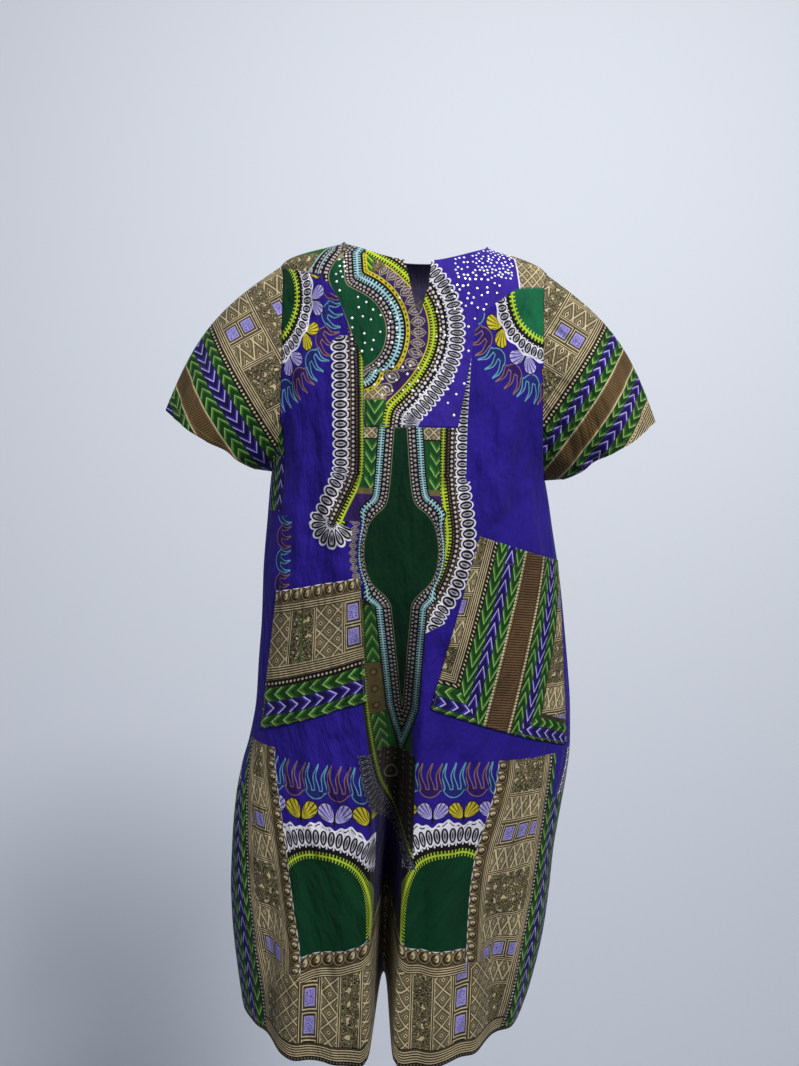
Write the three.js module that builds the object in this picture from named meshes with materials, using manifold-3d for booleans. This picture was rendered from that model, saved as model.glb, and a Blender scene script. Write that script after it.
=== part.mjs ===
// A bubu dress: wide printed cotton, bib yoke with a neck slit, wide sleeves, two patch pockets.
// Millimetres, +Z up, the front faces -Y. Left and right in names are the wearer's.
// The origin is the middle of the line between the two neck points, where the shoulders carry it.
import * as THREE from "three";
import { mergeVertices } from "three/addons/utils/BufferGeometryUtils.js";
import Module from "manifold-3d";

const wasm = await Module(); // joins and cuts solids
wasm.setup();

// ---- sizes ----
const WALL = 2; // cloth with its seams and hems
const SEAM = 0.3; // between two cut pieces
const PATCH_LIFT = 0.5; // a patch pocket stands off the panel it is sewn to
const PATCH_WALL = 1.6;
const COLUMNS_FRONT = 40;
const FOLD_COLUMNS = 5; // of these, on each wall of the centre fold
const COLUMNS_BACK = 28;
const COLUMNS_SLEEVE = 24;
const ARM_STEP_DEG = 360 / COLUMNS_SLEEVE; // body rows meet the sleeve's own points
const SHOULDER_DROP = 38; // shoulder tip below the neck points
const UNDERARM_Z = -340;
const ARMHOLE_HALF_DEPTH = 77; // the armhole loop, front to back
const ARMHOLE_WRAP_DEG = 55; // how far round a section turns before the armhole cuts it
const FRONT_ROLL = 90; // drop over which the cloth rolls from shoulder to chest
const BACK_ROLL = 80;
const HEM_Z = -1143;
const HEM_RISE = 36; // the hem climbs where the centre fold runs deep

// Body sections: widths from the middle plane as worn, depths at the middle.
const BODY = [
  // z, right side, left side, front, back
  [0, 97, 111, 96, 85],
  [-38, 188, 200, 96, 85],
  [-60, 182, 193, 96, 85],
  [-100, 179, 190, 98, 88],
  [-190, 176, 191, 110, 95],
  [-270, 178, 196, 124, 93],
  [-320, 186, 203, 129, 89],
  [-340, 196, 211, 130, 88],
  [-413, 201, 226, 133, 88],
  [-489, 205, 240, 133, 91],
  [-560, 206, 250, 130, 96],
  [-620, 209, 258, 129, 101],
  [-680, 211, 264, 130, 106],
  [-740, 220, 266, 133, 110],
  [-780, 230, 263, 137, 112],
  [-830, 238, 256, 142, 115],
  [-890, 242, 248, 150, 118],
  [-950, 243, 244, 157, 121],
  [-1010, 240, 238, 163, 124],
  [-1095, 229, 221, 172, 129],
  [-1150, 219, 205, 177, 132],
];

// The deep fold at the middle of the front.
const CENTRE_FOLD = [
  // z, x, half width, depth
  [-420, -2, 46, 0],
  [-550, -2, 46, 14],
  [-650, -2, 44, 35],
  [-750, -3, 40, 66],
  [-850, -4, 32, 100],
  [-950, -5, 25, 135],
  [-1050, -5, 19, 160],
  [-1150, -5, 17, 180],
];

// Softer folds: they start at z0, are full at z1, end at z2 (null: run to the hem).
// Depth is positive into the body, negative for a ridge.
const FRONT_FOLDS = [
  // z0, z1, z2, x top, x end, half width, depth
  [-850, -1050, null, 150, 158, 34, 26],
  [-800, -1050, null, -168, -168, 24, 10],
  [-850, -1100, null, -128, -128, 50, -22],
  [-150, -260, -420, 84, 92, 26, 7],
];
const BACK_FOLDS = [
  // z0, z1, z2, x top, x end, half width, depth
  [-420, -1000, null, -70, -96, 46, 34],
  [-560, -1050, null, 26, 18, 36, 24],
  [-480, -1020, null, 96, 122, 48, 38],
  [-700, -1080, null, -150, -160, 34, 16],
  [-130, -230, -420, -40, -34, 40, 7],
  [-120, -240, -400, 70, 60, 34, 6],
];

// Neck opening in plan, and the slit seen from the front (x, z).
const NECK = { x: 7, halfWidth: 104, front: 81, back: 50 };
const SLIT = [
  [-9, 10], [-8, -40], [1, -78], [9, -110], [13, -118],
  [17, -112], [26, -77], [29, -42], [30, 10],
];

// Lower edge of the bib yoke seen from the front (x, z), from armhole to armhole.
const YOKE_EDGE = [
  [-230, -42], [-179, -49], [-155, -56], [-128, -66], [-111, -79], [-97, -100],
  [-86, -128], [-72, -190], [-62, -238], [-55, -276], [72, -273], [80, -225],
  [87, -180], [92, -138], [102, -114], [120, -97], [150, -74], [191, -66], [240, -60],
];

// Patch pockets seen from the front (x, z).
const POCKET_RIGHT = [[-175, -510], [-54, -480], [-41, -653], [-195, -714]];
const POCKET_LEFT = [[107, -419], [231, -457], [252, -726], [48, -660]];

// Sleeve hem loops: centre x and z, the axis from the outer tip to the bottom, depth.
const SLEEVES = {
  right: { side: -1, tip: [-354, -253], bottom: [-222, -337], depth: 84, crown: 26 },
  left: { side: 1, tip: [369, -246], bottom: [240, -337], depth: 84, crown: 26 },
};
const SLEEVE_ROWS = 7;
const SLEEVE_FOLDS = [
  // angle from the top (degrees), half width (degrees), depth
  [38, 16, 7],
  [78, 18, -6],
  [118, 20, 9],
  [232, 20, 8],
  [285, 18, -6],
  [325, 16, 7],
];

// ---- small tools ----
const clamp = (v, a, b) => Math.min(b, Math.max(a, v));
const ramp = (t) => ((t = clamp(t, 0, 1)), t * t * (3 - 2 * t));
const bell = (q) => (Math.abs(q) < 1 ? (1 - q * q) ** 2 : 0);

// A smooth curve through one column of a table, against z.
function track(table, column) {
  const z = table.map((r) => -r[0]);
  const v = table.map((r) => r[column]);
  const d = z.slice(1).map((b, i) => (v[i + 1] - v[i]) / (b - z[i]));
  const m = z.map((_, i) => {
    if (i === 0) return d[0];
    if (i === z.length - 1) return d[i - 1];
    return d[i - 1] * d[i] <= 0 ? 0 : (2 * d[i - 1] * d[i]) / (d[i - 1] + d[i]);
  });
  return (at) => {
    const q = clamp(-at, z[0], z[z.length - 1]);
    let i = z.length - 2;
    while (i > 0 && q < z[i]) i--;
    const h = z[i + 1] - z[i];
    const t = (q - z[i]) / h;
    return (2 * t ** 3 - 3 * t ** 2 + 1) * v[i] + (t ** 3 - 2 * t ** 2 + t) * h * m[i]
      + (3 * t ** 2 - 2 * t ** 3) * v[i + 1] + (t ** 3 - t ** 2) * h * m[i + 1];
  };
}

const rightX = track(BODY, 1);
const leftX = track(BODY, 2);
const frontDepth = track(BODY, 3);
const backDepth = track(BODY, 4);
const foldX = track(CENTRE_FOLD, 1);
const foldHalf = track(CENTRE_FOLD, 2);
const foldDepth = track(CENTRE_FOLD, 3);

const ARM_MID = (UNDERARM_Z - SHOULDER_DROP) / 2;
const ARM_HALF = (-SHOULDER_DROP - UNDERARM_Z) / 2;

// Half depth of the armhole loop at height z.
const armholeY = (z) =>
  ARMHOLE_HALF_DEPTH * Math.sqrt(Math.max(0, 1 - ((z - ARM_MID) / ARM_HALF) ** 2));

const rollOver = (z, drop) => Math.sqrt(1 - (1 - clamp(-z / drop, 0, 1)) ** 2);

function softFolds(table, x, z) {
  let sum = 0;
  for (const [z0, z1, z2, xTop, xEnd, half, depth] of table) {
    let grown = ramp((z0 - z) / (z0 - z1));
    if (z2 !== null) grown *= 1 - ramp((z1 - z) / (z1 - z2));
    const along = clamp((z0 - z) / (z0 - (z2 ?? -1150)), 0, 1);
    sum += depth * grown * bell((x - xTop - (xEnd - xTop) * along) / half);
  }
  return sum;
}

// One point of the body: face -1 is the front, 1 the back; turn runs -1 to 1 across it.
function bodyPoint(face, turn, z) {
  const yArm = armholeY(z);
  const half = THREE.MathUtils.degToRad(
    90 - ((90 - ARMHOLE_WRAP_DEG) * yArm) / ARMHOLE_HALF_DEPTH);
  const side = turn < 0 ? rightX(z) : leftX(z);
  const x = (side * Math.sin(turn * half)) / Math.sin(half);
  const middle = face < 0
    ? frontDepth(z) * rollOver(z, FRONT_ROLL)
    : backDepth(z) * rollOver(z, BACK_ROLL);
  const round = (Math.cos(turn * half) - Math.cos(half)) / (1 - Math.cos(half));
  let inward = softFolds(face < 0 ? FRONT_FOLDS : BACK_FOLDS, x, z);
  if (face < 0) inward += foldDepth(z) * bell((x - foldX(z)) / foldHalf(z));
  inward *= ramp((1 - Math.abs(turn)) / 0.12);
  return [x, face * (yArm + (middle - yArm) * round - inward), z];
}

// A row of points from side to side. Between the anchors, the steps of cloth length are equal,
// so the columns keep to the brinks of the centre fold.
function bodyRow(face, z, columns) {
  const steps = 800;
  const fine = [];
  for (let i = 0; i <= steps; i++) fine.push(bodyPoint(face, -1 + (2 * i) / steps, z));
  const run = [0];
  for (let i = 1; i <= steps; i++) {
    run.push(run[i - 1] + Math.hypot(fine[i][0] - fine[i - 1][0], fine[i][1] - fine[i - 1][1]));
  }
  const at = (x) => run[Math.max(fine.findIndex((p) => p[0] >= x), 0)];
  const mid = foldX(z);
  const anchors = face < 0
    ? [0, at(mid - foldHalf(z)), at(mid), at(mid + foldHalf(z)), run[steps]]
    : [0, at(0), run[steps]];
  const counts = face < 0
    ? [columns / 2 - FOLD_COLUMNS, FOLD_COLUMNS, FOLD_COLUMNS, columns / 2 - FOLD_COLUMNS]
    : [columns / 2, columns / 2];
  const out = [];
  let k = 0;
  counts.forEach((count, part) => {
    for (let j = part ? 1 : 0; j <= count; j++) {
      const want = anchors[part] + ((anchors[part + 1] - anchors[part]) * j) / count;
      while (k < steps - 1 && run[k + 1] < want) k++;
      const t = clamp((want - run[k]) / (run[k + 1] - run[k] || 1), 0, 1);
      out.push(fine[k].map((v, c) => v + (fine[k + 1][c] - v) * t));
    }
  });
  return out;
}

// Heights of the rows: close over the shoulder and round the armhole, wider below.
function rowHeights() {
  const heights = [0, -2, -6, -13, -22, -30, -SHOULDER_DROP];
  for (let a = ARM_STEP_DEG; a < 180; a += ARM_STEP_DEG) {
    heights.push(ARM_MID + ARM_HALF * Math.cos(THREE.MathUtils.degToRad(a)));
  }
  heights.push(UNDERARM_Z);
  const below = 14;
  for (let i = 1; i <= below; i++) {
    heights.push(UNDERARM_Z + ((HEM_Z - UNDERARM_Z) * i) / below);
  }
  return heights;
}

function bodyGrid(face, columns) {
  const rows = rowHeights().map((z) => bodyRow(face, z, columns));
  const top = rows.findIndex((r) => r[0][2] < -800);
  for (let i = top; face < 0 && i < rows.length; i++) {
    const share = ramp((i - top) / (rows.length - 1 - top));
    for (const p of rows[i]) {
      p[2] += HEM_RISE * share * bell((p[0] - foldX(p[2])) / (foldHalf(p[2]) * 1.6));
    }
  }
  return rows;
}

// Normals of a grid, out of the side that `flip` picks; loop joins its first and last column.
function gridNormals(grid, flip, loop = false) {
  const n = grid[0].length;
  const v = (p) => new THREE.Vector3(...p);
  return grid.map((row, i) => row.map((_, j) => {
    const up = v(grid[Math.max(i - 1, 0)][j]);
    const down = v(grid[Math.min(i + 1, grid.length - 1)][j]);
    const a = v(row[loop ? (j + n - 1) % n : Math.max(j - 1, 0)]);
    const b = v(row[loop ? (j + 1) % n : Math.min(j + 1, n - 1)]);
    return b.sub(a).cross(down.sub(up)).normalize().multiplyScalar(flip);
  }));
}

// A closed wall on a grid, between two distances along its normals.
function wallOn(grid, normals, inner, outer, loop = false) {
  const rows = grid.length;
  const n = grid[0].length;
  const verts = [];
  for (const off of [outer, inner]) {
    grid.forEach((row, i) => row.forEach((p, j) => {
      const d = normals[i][j];
      verts.push(p[0] + d.x * off, p[1] + d.y * off, p[2] + d.z * off);
    }));
  }
  const id = (layer, i, j) => layer * rows * n + i * n + (j % n);
  const tris = [];
  const quad = (a, b, c, d) => tris.push(a, b, c, a, c, d);
  const across = loop ? n : n - 1;
  for (let i = 0; i < rows - 1; i++) {
    for (let j = 0; j < across; j++) {
      quad(id(0, i, j), id(0, i, j + 1), id(0, i + 1, j + 1), id(0, i + 1, j));
      quad(id(1, i, j), id(1, i + 1, j), id(1, i + 1, j + 1), id(1, i, j + 1));
    }
  }
  for (let j = 0; j < across; j++) {
    quad(id(0, 0, j), id(1, 0, j), id(1, 0, j + 1), id(0, 0, j + 1));
    const e = rows - 1;
    quad(id(0, e, j), id(0, e, j + 1), id(1, e, j + 1), id(1, e, j));
  }
  if (!loop) {
    for (let i = 0; i < rows - 1; i++) {
      quad(id(0, i, 0), id(0, i + 1, 0), id(1, i + 1, 0), id(1, i, 0));
      const e = n - 1;
      quad(id(0, i, e), id(1, i, e), id(1, i + 1, e), id(0, i + 1, e));
    }
  }
  const geometry = new THREE.BufferGeometry();
  geometry.setAttribute("position", new THREE.Float32BufferAttribute(verts, 3));
  geometry.setIndex(tris);
  return solidOf(geometry);
}

// A closed geometry as a solid that can be joined and cut, with its faces out.
function solidOf(geometry) {
  const g = geometry.clone();
  g.deleteAttribute("normal");
  g.deleteAttribute("uv");
  const merged = mergeVertices(g, 1e-4);
  const triVerts = new Uint32Array(merged.index.array);
  const make = () => new wasm.Manifold(new wasm.Mesh({
    numProp: 3,
    vertProperties: merged.attributes.position.array,
    triVerts,
  }));
  const made = make();
  if (made.volume() > 0) return made;
  for (let i = 0; i < triVerts.length; i += 3) {
    [triVerts[i], triVerts[i + 1]] = [triVerts[i + 1], triVerts[i]];
  }
  return make();
}

// An upright cutter from a plan outline (x, y), between two heights.
function planCutter(points, low, high) {
  const shape = new THREE.Shape(points.map(([x, y]) => new THREE.Vector2(x, y)));
  const g = new THREE.ExtrudeGeometry(shape, { depth: high - low, bevelEnabled: false });
  return g.translate(0, 0, low);
}

// A cutter from an outline seen from the front (x, z), from the middle plane forwards.
const frontCutter = (points) => solidOf(planCutter(points, 0, 400).rotateX(Math.PI / 2));

// A line of points moved sideways by a distance, mitred at its corners.
function moveLine(points, distance) {
  const step = (a, b) => new THREE.Vector2(b[0] - a[0], b[1] - a[1]).normalize();
  return points.map((p, i) => {
    const before = i > 0 ? step(points[i - 1], p) : step(p, points[1]);
    const after = i < points.length - 1 ? step(p, points[i + 1]) : before;
    const mitre = new THREE.Vector2(before.y + after.y, -before.x - after.x).normalize();
    const reach = distance / (mitre.x * after.y - mitre.y * after.x);
    return [p[0] + mitre.x * reach, p[1] + mitre.y * reach];
  });
}

// ---- front, yoke and pockets ----
const frontGrid = bodyGrid(-1, COLUMNS_FRONT);
const frontNormals = gridNormals(frontGrid, -1);
const aboveYokeEdge = (edge) => [...edge, [240, 30], [-230, 30]];
const neckPlan = Array.from({ length: 48 }, (_, i) => {
  const a = (i * Math.PI) / 24;
  const depth = Math.sin(a) < 0 ? NECK.front : NECK.back;
  return [NECK.x + NECK.halfWidth * Math.cos(a), depth * Math.sin(a)];
});
const neckCutter = solidOf(planCutter(neckPlan, -60, 60));

// Front and back meet in the middle plane at shoulders and sides. The block between takes half
// a seam off one of them, and stays clear of the centre fold, which runs behind that plane.
const seamCutter = (face) => {
  const blocks = [[-420, -90], [100, 420]].map(([x0, x1]) => {
    const g = new THREE.BoxGeometry(x1 - x0, 200, 1240);
    return solidOf(g.translate((x0 + x1) / 2, face * (SEAM / 2 - 100), -600));
  });
  return blocks[0].add(blocks[1]);
};

const frontSewn = wallOn(frontGrid, frontNormals, -WALL, 0)
  .subtract(neckCutter)
  .subtract(seamCutter(-1));
const yokeFront = frontSewn
  .intersect(frontCutter(aboveYokeEdge(YOKE_EDGE)))
  .subtract(frontCutter(SLIT));
const front = frontSewn.subtract(frontCutter(aboveYokeEdge(moveLine(YOKE_EDGE, SEAM))));

const pocket = (points) =>
  wallOn(frontGrid, frontNormals, PATCH_LIFT, PATCH_LIFT + PATCH_WALL)
    .intersect(frontCutter(points));

// ---- back ----
const backGrid = bodyGrid(1, COLUMNS_BACK);
const back = wallOn(backGrid, gridNormals(backGrid, 1), -WALL, 0)
  .subtract(neckCutter)
  .subtract(seamCutter(1));

// ---- sleeves ----
function sleeve({ side, tip, bottom, depth, crown }) {
  const sideX = side < 0 ? (z) => -rightX(z) : leftX;
  const rows = [];
  for (let i = 0; i <= SLEEVE_ROWS; i++) {
    const t = i / SLEEVE_ROWS;
    const row = [];
    for (let j = 0; j < COLUMNS_SLEEVE; j++) {
      const a = (j / COLUMNS_SLEEVE) * 2 * Math.PI;
      const zArm = ARM_MID + ARM_HALF * Math.cos(a);
      const start = [sideX(zArm) + side * SEAM, -ARMHOLE_HALF_DEPTH * Math.sin(a), zArm];
      const top = (1 + Math.cos(a)) / 2;
      const end = [
        bottom[0] + (tip[0] - bottom[0]) * top,
        -depth * Math.sin(a),
        bottom[1] + (tip[1] - bottom[1]) * top,
      ];
      const deg = (j / COLUMNS_SLEEVE) * 360;
      let out = crown * Math.sin(Math.PI * t) * top ** 2;
      for (const [at, half, d] of SLEEVE_FOLDS) out -= d * ramp(t) * bell((deg - at) / half);
      row.push([
        start[0] + (end[0] - start[0]) * t + side * out * 0.75 * top,
        start[1] + (end[1] - start[1]) * t - out * Math.sin(a) * 0.9,
        start[2] + (end[2] - start[2]) * t + out * 0.65 * Math.cos(a),
      ]);
    }
    rows.push(row);
  }
  const normals = gridNormals(rows, 1, true);
  // The normals point away from the line through the middles of the two end loops.
  const probe = normals[3][0];
  if (probe.z < 0) normals.forEach((r) => r.forEach((d) => d.negate()));
  return wallOn(rows, normals, -WALL, 0, true);
}

// ---- meshes ----
function meshOf(name, solid, colour, roughness) {
  const m = solid.getMesh();
  const g = new THREE.BufferGeometry();
  const step = m.numProp;
  const pos = new Float32Array((m.vertProperties.length / step) * 3);
  for (let i = 0; i < pos.length / 3; i++) {
    for (let c = 0; c < 3; c++) pos[i * 3 + c] = m.vertProperties[i * step + c];
  }
  g.setAttribute("position", new THREE.BufferAttribute(pos, 3));
  g.setIndex(new THREE.BufferAttribute(new Uint32Array(m.triVerts), 1));
  g.computeVertexNormals();
  const mesh = new THREE.Mesh(
    g, new THREE.MeshStandardMaterial({ color: colour, roughness, metalness: 0 }));
  mesh.name = name;
  return mesh;
}

const dress = new THREE.Group();
dress.name = "bubu_dress";
dress.add(
  meshOf("yoke_front", yokeFront, "#2a2f6a", 0.8),
  meshOf("front", front, "#2a1c80", 0.8),
  meshOf("back", back, "#2a1c80", 0.8),
  meshOf("sleeve_right", sleeve(SLEEVES.right), "#4a4530", 0.8),
  meshOf("sleeve_left", sleeve(SLEEVES.left), "#4a4530", 0.8),
  meshOf("pocket_right", pocket(POCKET_RIGHT), "#4d4832", 0.8),
  meshOf("pocket_left", pocket(POCKET_LEFT), "#3f5a34", 0.8),
);
export default dress;
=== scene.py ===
import math
import random

import bpy
import numpy as np
from mathutils import Matrix, Vector


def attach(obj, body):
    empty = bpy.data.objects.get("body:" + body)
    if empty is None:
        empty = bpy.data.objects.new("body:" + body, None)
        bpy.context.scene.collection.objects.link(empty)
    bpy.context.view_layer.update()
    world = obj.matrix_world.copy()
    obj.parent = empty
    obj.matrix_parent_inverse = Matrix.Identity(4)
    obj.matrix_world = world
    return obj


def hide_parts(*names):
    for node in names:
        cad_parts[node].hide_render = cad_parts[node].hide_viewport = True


# ---------------------------------------------------------------- sizes (millimetres)
UNDERARM, SHOULDER, ARM_HALF_DEPTH, ARM_WRAP = -340.0, -38.0, 77.0, 55.0
FRONT_ROLL, BACK_ROLL = 90.0, 80.0
HEM, HEM_RISE = -1143.0, 36.0
ARM_MID, ARM_HALF = (UNDERARM + SHOULDER) / 2, (SHOULDER - UNDERARM) / 2

# Body sections: z, right side, left side, front depth, back depth.
BODY = np.array([
    (0, 97, 111, 96, 85), (-38, 188, 200, 96, 85), (-60, 182, 193, 96, 85),
    (-100, 179, 190, 98, 88), (-190, 176, 191, 110, 95), (-270, 178, 196, 124, 93),
    (-320, 186, 203, 129, 89), (-340, 196, 211, 130, 88), (-413, 201, 226, 133, 88),
    (-489, 205, 240, 133, 91), (-560, 206, 250, 130, 96), (-620, 209, 258, 129, 101),
    (-680, 211, 264, 130, 106), (-740, 220, 266, 133, 110), (-780, 230, 263, 137, 112),
    (-830, 238, 256, 142, 115), (-890, 242, 248, 150, 118), (-950, 243, 244, 157, 121),
    (-1010, 240, 238, 163, 124), (-1095, 229, 221, 172, 129), (-1150, 219, 205, 177, 132)], float)
# The deep fold at the middle of the front: z, x, half width, depth.
CENTRE_FOLD = np.array([
    (-420, -2, 46, 0), (-550, -2, 46, 14), (-650, -2, 44, 35), (-750, -3, 40, 66),
    (-850, -4, 32, 100), (-950, -5, 25, 135), (-1050, -5, 19, 160), (-1150, -5, 17, 180)], float)
# Soft folds: z0, full at z1, gone at z2 (None: to the hem), x top, x end, half width, depth.
FRONT_FOLDS = [
    (-850, -1050, None, 150, 158, 34, 26), (-800, -1050, None, -168, -168, 24, 10),
    (-850, -1100, None, -128, -128, 50, -22), (-150, -260, -420, 84, 92, 26, 7)]
BACK_FOLDS = [
    (-420, -1000, None, -70, -96, 46, 34), (-560, -1050, None, 26, 18, 36, 24),
    (-480, -1020, None, 96, 122, 48, 38), (-700, -1080, None, -150, -160, 34, 16),
    (-130, -230, -420, -40, -34, 40, 7), (-120, -240, -400, 70, 60, 34, 6)]


def track(table, column):
    """A smooth curve through one column of a table, against z."""
    q, v = -table[:, 0], table[:, column]
    d = np.diff(v) / np.diff(q)
    m = np.concatenate(([d[0]], [0 if a * b <= 0 else 2 * a * b / (a + b)
                                 for a, b in zip(d[:-1], d[1:])], [d[-1]]))

    def at(z):
        t = np.clip(-np.asarray(z, float), q[0], q[-1])
        i = np.clip(np.searchsorted(q, t, "right") - 1, 0, len(q) - 2)
        h = q[i + 1] - q[i]
        t = (t - q[i]) / h
        return ((2 * t**3 - 3 * t**2 + 1) * v[i] + (t**3 - 2 * t**2 + t) * h * m[i]
                + (3 * t**2 - 2 * t**3) * v[i + 1] + (t**3 - t**2) * h * m[i + 1])
    return at


side_right, side_left, front_depth, back_depth = [track(BODY, c) for c in (1, 2, 3, 4)]
fold_x, fold_half, fold_depth = [track(CENTRE_FOLD, c) for c in (1, 2, 3)]


def ramp(t):
    t = np.clip(t, 0, 1)
    return t * t * (3 - 2 * t)


def bell(q):
    return np.where(np.abs(q) < 1, (1 - np.clip(q * q, 0, 1)) ** 2, 0.0)


def roll_over(z, drop):
    return np.sqrt(np.maximum(0, 1 - (1 - np.clip(-z / drop, 0, 1)) ** 2))


def armhole_y(z):
    return ARM_HALF_DEPTH * np.sqrt(np.clip(1 - ((z - ARM_MID) / ARM_HALF) ** 2, 0, 1))


def soft_folds(table, x, z):
    total = np.zeros_like(x)
    for z0, z1, z2, xt, xe, half, depth in table:
        grown = ramp((z0 - z) / (z0 - z1))
        if z2 is not None:
            grown = grown * (1 - ramp((z1 - z) / (z1 - z2)))
        along = np.clip((z0 - z) / (z0 - (-1150 if z2 is None else z2)), 0, 1)
        total = total + depth * grown * bell((x - xt - (xe - xt) * along) / half)
    return total


def wrap(z):
    return np.radians(90 - (90 - ARM_WRAP) * armhole_y(z) / ARM_HALF_DEPTH)


def turn_of(x, z):
    """How far round the section a point seen at x lies, -1 to 1."""
    side = np.where(x < 0, side_right(z), side_left(z))
    half = wrap(z)
    return np.sign(x) * np.arcsin(np.clip(np.abs(x) / side * np.sin(half), 0, 1)) / half


def body_point(face, turn, z, creases=None):
    """Points of the front (face -1) or the back (1) at a turn round the section and a height."""
    turn, z = np.broadcast_arrays(np.asarray(turn, float), np.asarray(z, float))
    y_arm, half = armhole_y(z), wrap(z)
    side = np.where(turn < 0, side_right(z), side_left(z))
    x = side * np.sin(turn * half) / np.sin(half)
    middle = (front_depth(z) * roll_over(z, FRONT_ROLL) if face < 0
              else back_depth(z) * roll_over(z, BACK_ROLL))
    rounded = (np.cos(turn * half) - np.cos(half)) / (1 - np.cos(half))
    inward = soft_folds(FRONT_FOLDS if face < 0 else BACK_FOLDS, x, z)
    if face < 0:
        inward = inward + fold_depth(z) * bell((x - fold_x(z)) / fold_half(z))
    inward = inward * ramp((1 - np.abs(turn)) / 0.12)
    if creases is not None:
        inward = inward + creases(x, z) * ramp((1 - np.abs(turn)) / 0.05)
    y = face * (y_arm + (middle - y_arm) * rounded - inward)
    return np.stack([x, y, z], -1)


# ---------------------------------------------------------------- cloth coordinates
GRID_Z = np.concatenate((-np.linspace(0, 1, 24)[:-1] ** 2 * 60, np.linspace(-60, HEM - 12, 220)))
GRID_TURN = np.linspace(-1, 1, 1201)


def cloth_tables(face):
    """Lengths along each section from the middle: s true, p with the centre fold's cloth left out."""
    pts = body_point(face, GRID_TURN[None, :], GRID_Z[:, None])
    run = np.concatenate((np.zeros((len(GRID_Z), 1)),
                          np.cumsum(np.hypot(*np.moveaxis(np.diff(pts, axis=1), -1, 0)[:2]), 1)), 1)
    s, p = np.empty_like(run), np.empty_like(run)
    for i, z in enumerate(GRID_Z):
        mid = float(fold_x(z)) if face < 0 else 0.0
        brink = float(fold_half(z)) if face < 0 else 1.0
        x = pts[i, :, 0]
        s[i] = run[i] - np.interp(mid, x, run[i])
        lo, hi = np.interp([mid - brink, mid + brink], x, run[i])
        p[i] = np.where(x < mid - brink, mid - brink - (lo - run[i]),
                        np.where(x > mid + brink, mid + brink + (run[i] - hi), x))
    return s, p


def lookup(table, turn, z):
    """Bilinear value of a cloth table."""
    zi = np.clip(np.interp(-z, -GRID_Z, np.arange(len(GRID_Z))), 0, len(GRID_Z) - 1.001)
    ti = np.clip((turn + 1) / 2 * (len(GRID_TURN) - 1), 0, len(GRID_TURN) - 1.001)
    i, j = zi.astype(int), ti.astype(int)
    a, b = zi - i, ti - j
    return ((table[i, j] * (1 - b) + table[i, j + 1] * b) * (1 - a)
            + (table[i + 1, j] * (1 - b) + table[i + 1, j + 1] * b) * a)


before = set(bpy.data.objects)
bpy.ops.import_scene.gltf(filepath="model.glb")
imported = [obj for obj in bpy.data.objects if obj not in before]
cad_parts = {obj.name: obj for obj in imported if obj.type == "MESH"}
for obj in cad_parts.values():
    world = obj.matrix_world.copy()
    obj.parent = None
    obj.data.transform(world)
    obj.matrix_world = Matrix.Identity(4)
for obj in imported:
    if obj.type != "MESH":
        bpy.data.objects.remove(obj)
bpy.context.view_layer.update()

# ---------------------------------------------------------------- grids
YOKE_EDGE = np.array([
    (-230, -42), (-179, -49), (-155, -56), (-128, -66), (-111, -79), (-97, -100), (-86, -128),
    (-72, -190), (-62, -238), (-55, -276), (72, -273), (80, -225), (87, -180), (92, -138),
    (102, -114), (120, -97), (150, -74), (191, -66), (240, -60)], float)
NECK_X, NECK_HALF, NECK_FRONT, NECK_BACK = 7.0, 104.0, 81.0, 50.0
SLIT = np.array([(-8, -40), (1, -78), (9, -110), (13, -118), (17, -112), (26, -77), (29, -42)], float)
POCKETS = {
    "pocket_right": np.array([(-175, -510), (-54, -480), (-41, -653), (-195, -714)], float),
    "pocket_left": np.array([(107, -419), (231, -457), (252, -726), (48, -660)], float)}
SLEEVES = {
    "sleeve_right": (-1, (-354, -253), (-222, -337), 84, 26),
    "sleeve_left": (1, (369, -246), (240, -337), 84, 26)}
SLEEVE_FOLDS = [(38, 16, 7), (78, 18, -6), (118, 20, 9), (232, 20, 8), (285, 18, -6), (325, 16, 7)]
WALL, SEAM, POCKET_LIFT = 1.6, 0.3, 2.1
STRIPE_SLOPE = 0.6  # of the sleeves' stripes, which start at these places
STRIPE_START = {"sleeve_right": 364, "sleeve_left": 351}

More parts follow.
